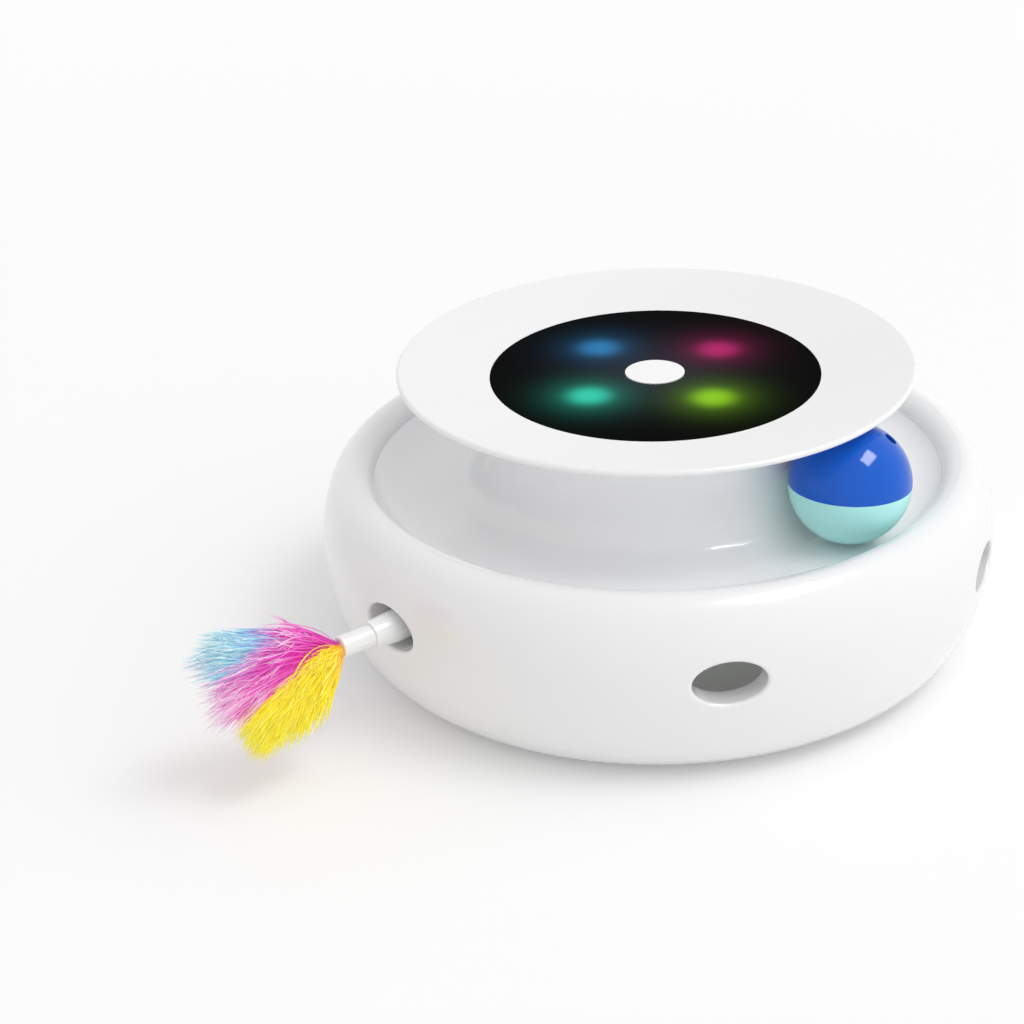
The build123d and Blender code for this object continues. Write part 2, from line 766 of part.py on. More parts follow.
# Ratchet ring: a ring of notches on the roof of the battery bay, one notch for each hole
notch_radius = ratchet_outer_radius - ratchet_notch_depth
notch_reach = ratchet_outer_radius + overrun
notch_corners = (
    (notch_reach, notch_wall_angle),
    (notch_radius, notch_wall_angle),
    (notch_radius, -notch_floor_angle),
    (notch_reach, -notch_ramp_angle),
)
with BuildPart() as ratchet_ring:
    with BuildSketch(Plane.XY.offset(bay_top)):
        Circle(ratchet_outer_radius)
        Circle(ratchet_inner_radius, mode=Mode.SUBTRACT)
        with PolarLocations(ratchet_screw_radius, ratchet_screw_count, start_angle=ratchet_screw_turn):
            Circle(screw_diameter / 2 + seat_gap, mode=Mode.SUBTRACT)
    extrude(amount=ratchet_thickness)
    for angle in hole_angles:
        notch = [polar(radius, angle + between_holes + turn) for radius, turn in notch_corners]
        with BuildSketch(Plane.XY.offset(bay_top)):
            with BuildLine():
                Polyline(*notch, close=True)
            make_face()
        extrude(amount=ratchet_thickness, mode=Mode.SUBTRACT)
finish(ratchet_ring, "ratchet_ring")

# Turret: a round plate with a long bed across it, turning on the post above a thrust washer
with BuildPart() as thrust_washer:
    with BuildSketch(Plane.XY.offset(shoulder_top)):
        Circle(shoulder_radius)
        Circle(post_radius + shaft_gap, mode=Mode.SUBTRACT)
    extrude(amount=thrust_thickness)
finish(thrust_washer, "thrust_washer")

pocket_floor = post_top - run_gap
rail_inner = slider_half_width + run_gap
rail_middle = rail_inner + rail_leg / 2
rail_screw_places = [
    (side_x * reach, side_y * rail_middle)
    for reach in (rail_screw_near, rail_screw_far)
    for side_x in (-1, 1)
    for side_y in (-1, 1)
]
with BuildPart() as turret_plate:
    with BuildSketch(Plane.XY.offset(turret_bottom)):
        Circle(turret_radius)
        Rectangle(2 * bed_half_length, 2 * bed_half_width)
        with PolarLocations((turret_radius + shoulder_radius) / 2, window_count, start_angle=window_turn):
            Circle(window_radius, mode=Mode.SUBTRACT)
        with Locations(*rail_screw_places):
            Circle(screw_diameter / 2 + seat_gap, mode=Mode.SUBTRACT)
        with Locations((pawl_pivot_x, pawl_pivot_y)):
            Circle(pawl_pin_diameter / 2 + press_gap, mode=Mode.SUBTRACT)
    extrude(amount=turret_thickness)
    with BuildSketch(Plane.XY.offset(hub_bottom)):
        Circle(shoulder_radius)
    extrude(amount=turret_hub_drop)
    with BuildSketch(Plane.XY.offset(hub_bottom)):
        Circle(post_radius + shaft_gap)
    extrude(amount=turret_top - hub_bottom, mode=Mode.SUBTRACT)
    with BuildSketch(Plane.XY.offset(pocket_floor)):
        Circle(retainer_radius + run_gap)
    extrude(amount=turret_top - pocket_floor, mode=Mode.SUBTRACT)
finish(turret_plate, "turret_plate")

with BuildPart() as turret_washer:
    with BuildSketch(Plane.XY.offset(post_top)):
        Circle(retainer_radius)
        Circle(screw_diameter / 2 + seat_gap, mode=Mode.SUBTRACT)
    extrude(amount=retainer_thickness)
finish(turret_washer, "turret_washer")

# Slide rails: two rails with inward lips on the turret's bed, which keep the carriage down
lip_bottom = rail_top - rail_lip_thickness
with BuildPart() as slide_rails:
    with BuildSketch(Plane.YZ.offset(-bed_half_length)):
        with BuildLine():
            Polyline(
                (rail_inner, turret_top),
                (rail_inner + rail_leg, turret_top),
                (rail_inner + rail_leg, rail_top),
                (rail_inner - rail_lip, rail_top),
                (rail_inner - rail_lip, lip_bottom),
                (rail_inner, lip_bottom),
                close=True,
            )
        make_face()
        mirror(about=Plane.YZ)
    extrude(amount=2 * bed_half_length)
    with BuildSketch(Plane.XY.offset(turret_top)):
        with Locations(*rail_screw_places):
            Circle(screw_diameter / 2 + press_gap)
    extrude(amount=rail_height - rail_lip_thickness / 2, mode=Mode.SUBTRACT)
finish(slide_rails, "slide_rails")

# Carriage: a slider between the rails with a saddle for the feather holder and the long rack beside it
root_line = pitch_radius + tooth_dedendum
tip_line = pitch_radius - tooth_addendum
rack_back_line = root_line + rack_back
slider_bottom = turret_top + run_gap
slider_top = lip_bottom - run_gap
neck_half_width = rail_inner - rail_lip - run_gap
saddle_bottom = rail_top + run_gap
saddle_top = hole_height + slider_cheek_rise - holder_radius
cheek_half_width = holder_radius + slider_cheek
tooth_pitch = pi * gear_module
tooth_half = tooth_pitch / 4 - tooth_backlash / 4
flank_run = tan(radians(pressure_angle))
rack_tooth_count = int((rack_front - gear_module) // tooth_pitch)
rack_rear_count = int((rack_reach - gear_module) // tooth_pitch)
rack_tooth_places = [(-index * tooth_pitch, 0) for index in range(-rack_rear_count, rack_tooth_count + 1)]
with BuildPart() as feather_rack:
    with BuildSketch(Plane.YZ.offset(-slider_front)):
        with Locations((0, (slider_bottom + slider_top) / 2)):
            Rectangle(2 * slider_half_width, slider_top - slider_bottom)
        with Locations((0, (slider_bottom + saddle_top) / 2)):
            Rectangle(2 * neck_half_width, saddle_top - slider_bottom)
        with Locations((0, (saddle_bottom + saddle_top) / 2)):
            Rectangle(2 * cheek_half_width, saddle_top - saddle_bottom)
        with BuildLine():
            Polyline(
                (0, saddle_bottom),
                (rack_back_line, saddle_bottom),
                (rack_back_line, rack_top),
                (root_line, rack_top),
                (root_line, saddle_top),
                (0, saddle_top),
                close=True,
            )
        make_face()
        with Locations((0, hole_height)):
            Circle(holder_radius + press_gap, mode=Mode.SUBTRACT)
    extrude(amount=slider_length)
    with BuildSketch(Plane.XY.offset(rack_bottom)):
        with BuildLine():
            Polyline(
                (-rack_front, root_line),
                (rack_reach, root_line),
                (rack_reach, rack_back_line),
                (-rack_front, rack_back_line),
                close=True,
            )
        make_face()
        with BuildLine():
            Polyline(
                (-tooth_half - tooth_dedendum * flank_run, root_line),
                (-tooth_half + tooth_addendum * flank_run, tip_line),
                (tooth_half - tooth_addendum * flank_run, tip_line),
                (tooth_half + tooth_dedendum * flank_run, root_line),
                close=True,
            )
        tooth = make_face(mode=Mode.PRIVATE)
        with Locations(*rack_tooth_places):
            add(tooth)
    extrude(amount=rack_thickness)
    with BuildSketch(Plane.XY.offset(slider_bottom)):
        with Locations(*holder_screw_places):
            Circle(screw_diameter / 2 + seat_gap)
    extrude(amount=hole_height - slider_bottom, mode=Mode.SUBTRACT)
    with BuildSketch(Plane.XY.offset(slider_bottom)):
        with Locations(*holder_screw_places):
            Circle(screw_head_diameter / 2 + seat_gap)
    extrude(amount=head_recess + head_gap, mode=Mode.SUBTRACT)
finish(feather_rack, "feather_rack")

# Drive shaft and pinion: the pinion at the shaft's foot is in mesh with the rack
shaft_radius = drive_shaft_diameter / 2
base_circle = pitch_radius * cos(radians(pressure_angle))
tip_radius = pitch_radius + tooth_addendum
root_radius = pitch_radius - tooth_dedendum
flank_radii = (root_radius, base_circle, (base_circle + pitch_radius) / 2, pitch_radius, tip_radius)


def tooth_half_angle(radius):
    """Half of the angle, in degrees, that an involute tooth fills at a radius."""
    at_pitch = radians(pressure_angle)
    at_radius = acos(min(1, base_circle / radius))
    half_at_pitch = pi / (2 * pinion_teeth) - tooth_backlash / (4 * pitch_radius)
    involute_gain = (tan(at_pitch) - at_pitch) - (tan(at_radius) - at_radius)
    return degrees(half_at_pitch + involute_gain)


tooth_angles = [90 + 360 / pinion_teeth * (index + 0.5) for index in range(pinion_teeth)]
pinion_outline = []
for angle in tooth_angles:
    pinion_outline += [polar(radius, angle - tooth_half_angle(radius)) for radius in flank_radii]
    pinion_outline += [polar(radius, angle + tooth_half_angle(radius)) for radius in reversed(flank_radii)]

with BuildPart() as rack_pinion:
    with BuildSketch(Plane.XY.offset(rack_bottom)):
        with BuildLine():
            Polyline(*pinion_outline, close=True)
        make_face()
        Circle(shaft_radius + press_gap, mode=Mode.SUBTRACT)
    extrude(amount=rack_thickness)
finish(rack_pinion, "rack_pinion")

with BuildPart() as drive_shaft:
    with BuildSketch(Plane.XY.offset(rack_bottom)):
        Circle(shaft_radius)
    extrude(amount=shaft_top - rack_bottom)
    chamfer(drive_shaft.edges().sort_by(Axis.Z)[-1], shaft_radius / 4)
finish(drive_shaft, "drive_shaft")

# Deck: a plate under the track, with a tower for the shaft's two bushes and a cup for the motor
with BuildPart() as deck_plate:
    with BuildSketch(Plane.XY.offset(deck_bottom)):
        Circle(deck_radius)
    extrude(amount=deck_thickness)
    with BuildSketch(Plane.XY.offset(deck_top)):
        Circle(tower_diameter / 2)
    extrude(amount=tower_height)
    with BuildSketch(Plane.XY.offset(deck_top)):
        with Locations((motor_offset, 0)):
            Circle(motor_diameter / 2 + seat_gap + motor_cup_wall)
            Circle(motor_diameter / 2 + seat_gap, mode=Mode.SUBTRACT)
            with GridLocations(0, motor_flat + 2 * seat_gap + motor_cup_wall, 1, 2):
                Rectangle(motor_flat, motor_cup_wall)
    extrude(amount=motor_cup_height)
    with BuildSketch(Plane.XY.offset(deck_bottom)):
        Circle(bush_diameter / 2 + press_gap)
    extrude(amount=deck_thickness + tower_height, mode=Mode.SUBTRACT)
    with BuildSketch(Plane.XY.offset(deck_bottom)):
        with PolarLocations(deck_screw_radius, deck_screw_count, start_angle=deck_screw_turn):
            Circle(screw_diameter / 2 + seat_gap)
    extrude(amount=deck_thickness, mode=Mode.SUBTRACT)
    with BuildSketch(Plane.XY.offset(deck_bottom)):
        with PolarLocations(deck_screw_radius, deck_screw_count, start_angle=deck_screw_turn):
            Circle(screw_head_diameter / 2 + seat_gap)
    extrude(amount=head_recess, mode=Mode.SUBTRACT)
finish(deck_plate, "deck_plate")

with BuildPart() as shaft_bushes:
    with BuildSketch(Plane.XY.offset(deck_bottom), Plane.XY.offset(deck_top + tower_height - bush_length)):
        Circle(bush_diameter / 2)
        Circle(shaft_radius + shaft_gap, mode=Mode.SUBTRACT)
    extrude(amount=bush_length)
finish(shaft_bushes, "shaft_bushes")

# Motor: a flat-sided can in the deck's cup, with its shaft pointing up
motor_shaft_radius = motor_shaft_diameter / 2
motor_axis = (motor_offset, 0)
nose_top = motor_top + motor_nose_length
with BuildPart() as motor_can:
    with BuildSketch(Plane.XY.offset(deck_top)):
        with Locations(motor_axis):
            Circle(motor_diameter / 2)
            Rectangle(motor_diameter, motor_flat, mode=Mode.INTERSECT)
    extrude(amount=motor_length)
    with BuildSketch(Plane.XY.offset(motor_top)):
        with Locations(motor_axis):
            Circle(motor_nose_diameter / 2)
    extrude(amount=motor_nose_length)
    with BuildSketch(Plane.XY.offset(nose_top)):
        with Locations(motor_axis):
            Circle(motor_shaft_radius + shaft_gap)
    extrude(amount=-motor_shaft_depth, mode=Mode.SUBTRACT)
finish(motor_can, "motor_can")

with BuildPart() as motor_shaft:
    with BuildSketch(Plane.XY.offset(nose_top - motor_shaft_depth + run_gap)):
        with Locations(motor_axis):
            Circle(motor_shaft_radius)
    extrude(amount=shaft_top - nose_top + motor_shaft_depth - run_gap)
finish(motor_shaft, "motor_shaft")

# Pulleys and belt: a small grooved pulley on the motor, a large one on the drive shaft and a round belt
groove_bottom = pulley_bottom + (pulley_width - pulley_groove_width) / 2
for pulley_name, place, outer, bore in (
    ("drive_pulley", (0, 0), drive_pulley_radius, shaft_radius),
    ("motor_pulley", motor_axis, motor_pulley_radius, motor_shaft_radius),
):
    with BuildPart() as pulley:
        with BuildSketch(Plane.XY.offset(pulley_bottom)):
            with Locations(place):
                Circle(outer)
                Circle(bore + press_gap, mode=Mode.SUBTRACT)
        extrude(amount=pulley_width)
        with BuildSketch(Plane.XY.offset(groove_bottom)):
            with Locations(place):
                Circle(outer + overrun)
                Circle(outer - pulley_groove_depth, mode=Mode.SUBTRACT)
        extrude(amount=pulley_groove_width, mode=Mode.SUBTRACT)
    finish(pulley, pulley_name)

belt_radius = belt_diameter / 2
belt_height = pulley_bottom + pulley_width / 2
large_loop = drive_pulley_radius - pulley_groove_depth + belt_gap + belt_radius
small_loop = motor_pulley_radius - pulley_groove_depth + belt_gap + belt_radius
belt_angle = degrees(acos((large_loop - small_loop) / motor_offset))
large_leave = polar(large_loop, belt_angle)
large_return = polar(large_loop, -belt_angle)
small_meet = (motor_offset + polar(small_loop, belt_angle)[0], polar(small_loop, belt_angle)[1])
small_leave = (motor_offset + polar(small_loop, -belt_angle)[0], polar(small_loop, -belt_angle)[1])
with BuildPart() as drive_belt:
    with BuildLine(Plane.XY.offset(belt_height)) as belt_path:
        ThreePointArc(large_leave, (-large_loop, 0), large_return)
        Line(large_return, small_leave)
        ThreePointArc(small_leave, (motor_offset + small_loop, 0), small_meet)
        Line(small_meet, large_leave)
    with BuildSketch(Plane(origin=(-large_loop, 0, belt_height), z_dir=(0, -1, 0))):
        Circle(belt_radius)
    sweep(path=belt_path.wires()[0])
finish(drive_belt, "drive_belt")

# Pawl: a lever under the turret whose tip stands in a notch of the ratchet ring, on a pin with a small spring
pawl_bottom = bay_top + run_gap
pawl_thickness = ratchet_thickness - run_gap
pawl_top = pawl_bottom + pawl_thickness
pawl_tip_radius = notch_radius + pawl_tip_gap
pivot = (pawl_pivot_x, pawl_pivot_y)
with BuildPart() as pawl:
    with BuildSketch(Plane.XY.offset(pawl_bottom)):
        with Locations(pivot):
            Circle(pawl_boss_radius)
        with Locations((0, pawl_tip_radius + pawl_tip_half_width)):
            Circle(pawl_tip_half_width)
        make_hull()
        with Locations(pivot):
            Circle(pawl_pin_diameter / 2 + shaft_gap, mode=Mode.SUBTRACT)
    extrude(amount=pawl_thickness)
finish(pawl, "pawl")

with BuildPart() as pawl_pin:
    with BuildSketch(Plane.XY.offset(pawl_bottom - pawl_pin_head_thickness)):
        with Locations(pivot):
            Circle(pawl_pin_head / 2)
    extrude(amount=pawl_pin_head_thickness)
    with BuildSketch(Plane.XY.offset(pawl_bottom)):
        with Locations(pivot):
            Circle(pawl_pin_diameter / 2)
    extrude(amount=turret_top - pawl_bottom)
finish(pawl_pin, "pawl_pin")

with BuildPart() as pawl_spring:
    with BuildSketch(Plane.XY.offset(pawl_top)):
        with Locations(pivot):
            Circle(pawl_spring_diameter / 2)
            Circle(pawl_spring_bore / 2, mode=Mode.SUBTRACT)
    extrude(amount=turret_bottom - pawl_top)
finish(pawl_spring, "pawl_spring")

# Feather holder: a tapered rod on the carriage, with a socket in its outer end
feather_axis = Axis((0, 0, hole_height), (-1, 0, 0))
socket_radius = stem_diameter / 2 + press_gap
with BuildPart() as feather_holder:
    with BuildSketch(Plane.XZ):
        with BuildLine():
            Polyline(
                (-holder_rear, hole_height),
                (-holder_rear, hole_height + holder_radius),
                (holder_taper - holder_front, hole_height + holder_radius),
                (-holder_front, hole_height + holder_tip_diameter / 2),
                (-holder_front, hole_height + socket_radius),
                (stem_socket - holder_front, hole_height + socket_radius),
                (stem_socket - holder_front, hole_height),
                close=True,
            )
        make_face()
    revolve(axis=feather_axis)
    with BuildSketch(Plane.XY.offset(hole_height)):
        with Locations(*holder_screw_places):
            Circle(screw_diameter / 2 + press_gap)
    extrude(amount=-holder_diameter, mode=Mode.SUBTRACT)
finish(feather_holder, "feather_holder")


def feather_plane(distance):
    """A plane across the feather at a distance from the toy's axis, facing out, with its Y axis up."""
    return Plane(origin=(-distance, 0, hole_height), x_dir=(0, -1, 0), z_dir=(-1, 0, 0))


# Feather stem: a round plug in the holder's socket
with BuildPart() as feather_stem:
    with BuildSketch(feather_plane(holder_front - stem_socket)):
        Circle(stem_diameter / 2)
    extrude(amount=stem_front - holder_front + stem_socket)
    fillet(feather_stem.edges().sort_by(Axis.X)[0], stem_edge)
finish(feather_stem, "feather_stem")

# Plume: tapered strands that fan out from the stem's end, a node for each colour
plume_names = ("plume_blue", "plume_pink", "plume_yellow")
plume_row_shares = (0.22, 0.67, 1.0)
root_half = stem_diameter / 2 - stem_edge - plume_root_width
first_row = 0
for plume_name, row_share in zip(plume_names, plume_row_shares):
    last_row = round(plume_rows * row_share)
    with BuildPart() as plume:
        for row in range(first_row, last_row):
            up_share = 1 - 2 * row / (plume_rows - 1)
            reach = plume_length * (1 - plume_round_share * up_share**2)
            tip_up = up_share * (plume_rise if up_share > 0 else plume_droop)
            for column in range(plume_columns):
                side_share = 2 * column / (plume_columns - 1) - 1
                root = (side_share * root_half / 2, up_share * root_half * plume_root_share)
                tip = (side_share * plume_half_width, tip_up)
                for along_share, width, height in (
                    (0, plume_root_width, plume_root_width),
                    (plume_widest_share, plume_blade_thickness, plume_blade_width),
                    (1, plume_tip_width, plume_tip_width),
                ):
                    place = tuple(a + (b - a) * along_share for a, b in zip(root, tip))
                    with BuildSketch(feather_plane(stem_front + reach * along_share)):
                        with Locations(place):
                            Rectangle(width, height)
                loft(ruled=True)
    first_row = last_row
    finish(plume, plume_name)

# Ball: two shells that meet at a seam, with a sound hole, and a slotted bell loose inside
ball_centre = Vector(*polar(track_radius, ball_turn), ball_height)
lean = radians(ball_tilt)
lean_way = polar(sin(lean), ball_lean_turn)
seam_plane = Plane(origin=ball_centre, z_dir=(lean_way[0], lean_way[1], cos(lean)))
hole_flat = polar(cos(radians(ball_hole_latitude)), ball_hole_turn)
hole_way = Vector(hole_flat[0], hole_flat[1], sin(radians(ball_hole_latitude)))
ball_halves = (("ball_upper_half", Keep.TOP, hole_way), ("ball_lower_half", Keep.BOTTOM, -hole_way))
for half_name, half, way in ball_halves:
    with BuildPart() as ball_half:
        with Locations(ball_centre):
            Sphere(ball_radius)
            Sphere(ball_radius - ball_wall, mode=Mode.SUBTRACT)
        split(bisect_by=seam_plane, keep=half)
        with BuildSketch(Plane(origin=ball_centre, z_dir=way)):
            Circle(ball_hole_diameter / 2)
        extrude(amount=ball_radius + overrun, mode=Mode.SUBTRACT)
    finish(ball_half, half_name)

bell_radius = bell_diameter / 2
bell_centre = ball_centre - Vector(0, 0, ball_radius - ball_wall - run_gap - bell_radius)
with BuildPart() as ball_bell:
    with Locations(bell_centre):
        Sphere(bell_radius)
        with Locations((0, 0, bell_radius)):
            Box(bell_slot, bell_diameter, bell_diameter, mode=Mode.SUBTRACT)
finish(ball_bell, "ball_bell")

# Screws: each set of like screws is one piece
base_bearing = foot_height + head_gap + screw_head_thickness
holder_bearing = slider_bottom + head_recess + head_gap
ratchet_top = bay_top + ratchet_thickness
retainer_top = post_top + retainer_thickness
screw_sets = (
    (
        "base_screws",
        screw(base_bearing, screw_length),
        ring_places(base_screw_radius, base_screw_count, between_holes),
    ),
    (
        "cap_screws",
        screw(flange_bottom, screw_length),
        ring_places(cap_screw_radius, cap_screw_count, cap_screw_turn),
    ),
    (
        "board_screws",
        screw(board_top, board_thickness + board_screw_bite - head_gap, points_up=False),
        ring_places(board_screw_radius, board_screw_count, 0),
    ),
    (
        "track_screws",
        screw(ledge_bottom + head_recess, wall - head_recess + screw_bite - head_gap),
        ring_places(track_screw_radius, hole_count, between_holes),
    ),
    (
        "deck_screws",
        screw(deck_bottom + head_recess, deck_thickness - head_recess + screw_bite - head_gap),
        ring_places(deck_screw_radius, deck_screw_count, deck_screw_turn),
    ),
    (
        "ratchet_screws",
        screw(ratchet_top, ratchet_thickness + ratchet_screw_bite - head_gap, points_up=False),
        ring_places(ratchet_screw_radius, ratchet_screw_count, ratchet_screw_turn),
    ),
    (
        "turret_screw",
        screw(retainer_top, retainer_thickness + turret_screw_bite - head_gap, points_up=False),
        [(0, 0)],
    ),
    (
        "rail_screws",
        screw(turret_bottom, turret_thickness + rail_height - rail_lip_thickness / 2 - head_gap),
        rail_screw_places,
    ),
    (
        "holder_screws",
        screw(holder_bearing, hole_height - holder_bearing - head_gap),
        holder_screw_places,
    ),
)
for set_name, one_screw, places in screw_sets:
    with BuildPart() as screw_set:
        with Locations(*places):
            add(one_screw)
    finish(screw_set, set_name)
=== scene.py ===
import math

import bpy
import numpy as np
from mathutils import Matrix, Vector


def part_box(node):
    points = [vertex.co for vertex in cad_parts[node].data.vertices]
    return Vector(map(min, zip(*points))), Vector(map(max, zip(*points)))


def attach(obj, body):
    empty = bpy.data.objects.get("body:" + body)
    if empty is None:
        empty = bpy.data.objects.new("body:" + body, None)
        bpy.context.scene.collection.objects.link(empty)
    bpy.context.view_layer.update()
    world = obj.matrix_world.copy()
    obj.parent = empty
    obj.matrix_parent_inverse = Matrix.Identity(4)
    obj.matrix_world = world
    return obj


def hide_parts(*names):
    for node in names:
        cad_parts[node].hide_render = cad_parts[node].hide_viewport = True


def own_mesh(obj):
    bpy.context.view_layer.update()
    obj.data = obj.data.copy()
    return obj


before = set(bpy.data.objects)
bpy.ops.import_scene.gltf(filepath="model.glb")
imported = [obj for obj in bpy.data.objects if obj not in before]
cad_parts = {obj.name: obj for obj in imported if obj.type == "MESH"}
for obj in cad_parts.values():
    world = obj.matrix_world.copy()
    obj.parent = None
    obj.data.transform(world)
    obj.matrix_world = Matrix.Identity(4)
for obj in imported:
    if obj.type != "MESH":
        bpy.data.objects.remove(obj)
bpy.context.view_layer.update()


# Base plate
# The floor of the toy, moulded in plain white plastic with the battery bay and the turret's
# post in one piece; six screws hold it up against the outer shell. A finely spark-etched face.
class Wire:
    """A shader socket in an expression: + - * / ** and > with numbers or wires add Math nodes."""

    mix_factor = 0
    mix_low = 6
    mix_high = 7
    mix_colour = 2

    def __init__(self, tree, socket):
        self.tree = tree
        self.socket = socket

    def node(self, kind, settings, inputs, output=0):
        """Adds a node: its settings are set first, then each socket takes a value or a wire."""
        made = self.tree.nodes.new(kind)
        for key, value in settings.items():
            if key == "stops":
                ramp = made.color_ramp.elements
                for place, _ in value[1:-1]:
                    ramp.new(place)
                for stop, (place, colour) in zip(ramp, value):
                    stop.position = place
                    stop.color = (*colour, 1)
            else:
                setattr(made, key, value)
        for key, value in inputs.items():
            if isinstance(value, Wire):
                self.tree.links.new(value.socket, made.inputs[key])
            else:
                made.inputs[key].default_value = value
        return Wire(self.tree, made.outputs[output])

    def maths(self, operation, first, second):
        """A Math node of two numbers or wires."""
        return self.node("ShaderNodeMath", {"operation": operation}, {0: first, 1: second})

    def __add__(self, other):
        return self.maths("ADD", self, other)

    __radd__ = __add__

    def __sub__(self, other):
        return self.maths("SUBTRACT", self, other)

    def __rsub__(self, other):
        return self.maths("SUBTRACT", other, self)

    def __mul__(self, other):
        return self.maths("MULTIPLY", self, other)

    __rmul__ = __mul__

    def __truediv__(self, other):
        return self.maths("DIVIDE", self, other)

    def __rtruediv__(self, other):
        return self.maths("DIVIDE", other, self)

    def __pow__(self, other):
        return self.maths("POWER", self, other)

    def __rpow__(self, other):
        return self.maths("POWER", other, self)

    def __gt__(self, other):
        return self.maths("GREATER_THAN", self, other)

    def ranged(self, low, high):
        """Value that goes from low at 0 to high at 1."""
        return low + (high - low) * self

    def falloff(self, reach, power):
        """e to the power of -(d / reach)^power: 1 at no distance d, near 0 well past the reach."""
        return math.e ** ((self / reach) ** power * -1)

    def noise(self, lumps, detail):
        """Cloudy value from 0 to 1 with so many lumps in a metre."""
        return self.node("ShaderNodeTexNoise", {}, {"Vector": self, "Scale": lumps, "Detail": detail})

    def stretched(self, along):
        """The same place with each axis scaled, so that a pattern runs longer along one of them."""
        return self.node("ShaderNodeMapping", {}, {"Vector": self, "Scale": along})

    def coordinate(self, axis):
        """The part of a place along one axis, X, Y or Z."""
        return self.node("ShaderNodeSeparateXYZ", {}, {"Vector": self}, axis)

    def vectors(self, operation, inputs, output):
        """A Vector Math node of vectors, colours or wires."""
        return self.node("ShaderNodeVectorMath", {"operation": operation}, inputs, output)

    def distance_to(self, point):
        """How far a place is from a point."""
        return self.vectors("DISTANCE", {0: self, 1: point}, "Value")

    def tinted(self, colour):
        """A colour made as bright as this value."""
        return self.vectors("SCALE", {0: colour, "Scale": self}, "Vector")

    def between(self, low, high):
        """Colour that goes from low at 0 to high at 1."""
        inputs = {self.mix_factor: self}
        for key, end in ((self.mix_low, low), (self.mix_high, high)):
            inputs[key] = end if isinstance(end, Wire) else (*end, 1)
        settings = {"data_type": "RGBA", "clamp_factor": True}
        return self.node("ShaderNodeMix", settings, inputs, self.mix_colour)

    def bump(self, strength, depth):
        """The surface's normal where this height, from 0 to 1, raises it by up to a depth."""
        inputs = {"Strength": strength, "Distance": depth, "Height": self}
        return self.node("ShaderNodeBump", {}, inputs)


def blank_finish(name, constants):
    """A new material: its shader with the constant sockets set, and a wire at the Object place."""
    material = bpy.data.materials.new(name)
    material.use_nodes = True
    tree = material.node_tree
    shader = tree.nodes["Principled BSDF"]
    for key, value in constants.items():
        shader.inputs[key].default_value = value
    place = Wire(tree, tree.nodes.new("ShaderNodeTexCoord").outputs["Object"])
    return material, shader, place


def feed(shader, **wires):
    """Links each wire to the shader's socket of that name, with _ for a space."""
    for key, wire in wires.items():
        wire.tree.links.new(wire.socket, shader.inputs[key.replace("_", " ")])


def moulded_plastic(name, colour, shade, roughness, grain, depth, coat):
    """Moulded plastic: a slow drift of tone, fine rubbing in the gloss and a skin of small lumps."""
    constants = {"Coat Weight": coat, "Coat Roughness": 0.08, "IOR": 1.5}
    material, shader, place = blank_finish(name, constants)
    rubbing_run = (1, 1, 0.3)
    drift = place.noise(lumps=14, detail=3)
    rubbing = place.stretched(rubbing_run).noise(lumps=900, detail=4)
    skin = place.noise(lumps=grain, detail=2)
    feed(
        shader,
        Base_Color=drift.between(shade, colour),
        Roughness=roughness * rubbing.ranged(0.8, 1.2),
        Normal=skin.bump(strength=0.5, depth=depth),
    )
    return material


def painted_shine_through(material, above, level):
    """Adds a painted glow, standing in for the light that comes through the thin white walls, to what
    stands above a height.
    """
    tree = material.node_tree
    shader = tree.nodes["Principled BSDF"]
    shader.inputs["Emission Strength"].default_value = 1.0
    place = Wire(tree, tree.nodes["Texture Coordinate"].outputs["Object"])
    unlit = (0.0, 0.0, 0.0)
    daylight = (0.96, 1.0, 1.0)
    upper = place.coordinate("Z") > above
    cloud = place.noise(lumps=14, detail=3).ranged(0.85, 1.15)
    feed(shader, Emission_Color=(upper * cloud * level).between(unlit, daylight))


def paint(material, *names):
    """Puts a finish on every material slot of the named nodes."""
    for name in names:
        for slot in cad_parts[name].material_slots:
            slot.material = material


lit_above = 0.0049
etched_white = moulded_plastic(
    "etched_white",
    colour=(0.86, 0.86, 0.85),
    shade=(0.80, 0.80, 0.79),
    roughness=0.5,
    grain=2400,
    depth=0.00006,
    coat=0.0,
)
# Painted glow on the plate's parts that stand above its inner floor.
painted_shine_through(etched_white, above=lit_above, level=0.13)
paint(etched_white, "base_plate")

# Foot ring
# A soft grey rubber ring pressed into a groove of the base plate, so the toy doesn't slide.
# Matt, with a fine grain and a little dust where it stands.
def rubber(name, colour, dust, grain):
    """Rubber: a matt colour, greyed by dust in patches, under a fine even grain."""
    material, shader, place = blank_finish(name, {"Specular IOR Level": 0.3})
    dust_share = 0.5
    patches = place.noise(lumps=60, detail=5)
    pimples = place.noise(lumps=grain, detail=1)
    feed(
        shader,
        Base_Color=(patches * dust_share).between(colour, dust),
        Roughness=patches.ranged(0.7, 0.9),
        Normal=pimples.bump(strength=0.6, depth=0.00008),
    )
    return material


grey_rubber = rubber("grey_rubber", colour=(0.30, 0.30, 0.31), dust=(0.42, 0.41, 0.40), grain=2600)
paint(grey_rubber, "foot_ring")

# Battery contacts
# A plate of nickel-plated strip at each end of every cell, with a raised button at the flat end.
# The bright plating shows the draw marks of the strip.
def metal(name, colour, worn, roughness, run):
    """Metal: two close tones in long fine draw marks, which also rough up the shine."""
    material, shader, place = blank_finish(name, {"Metallic": 1.0})
    mark_share = 0.5
    cloud_share = 0.5
    marks = place.stretched(run).noise(lumps=700, detail=5)
    clouds = place.noise(lumps=120, detail=2)
    feed(
        shader,
        Base_Color=(marks * mark_share + clouds * cloud_share).between(worn, colour),
        Roughness=roughness * marks.ranged(0.7, 1.3),
        Normal=marks.bump(strength=0.25, depth=0.00003),
    )
    return material


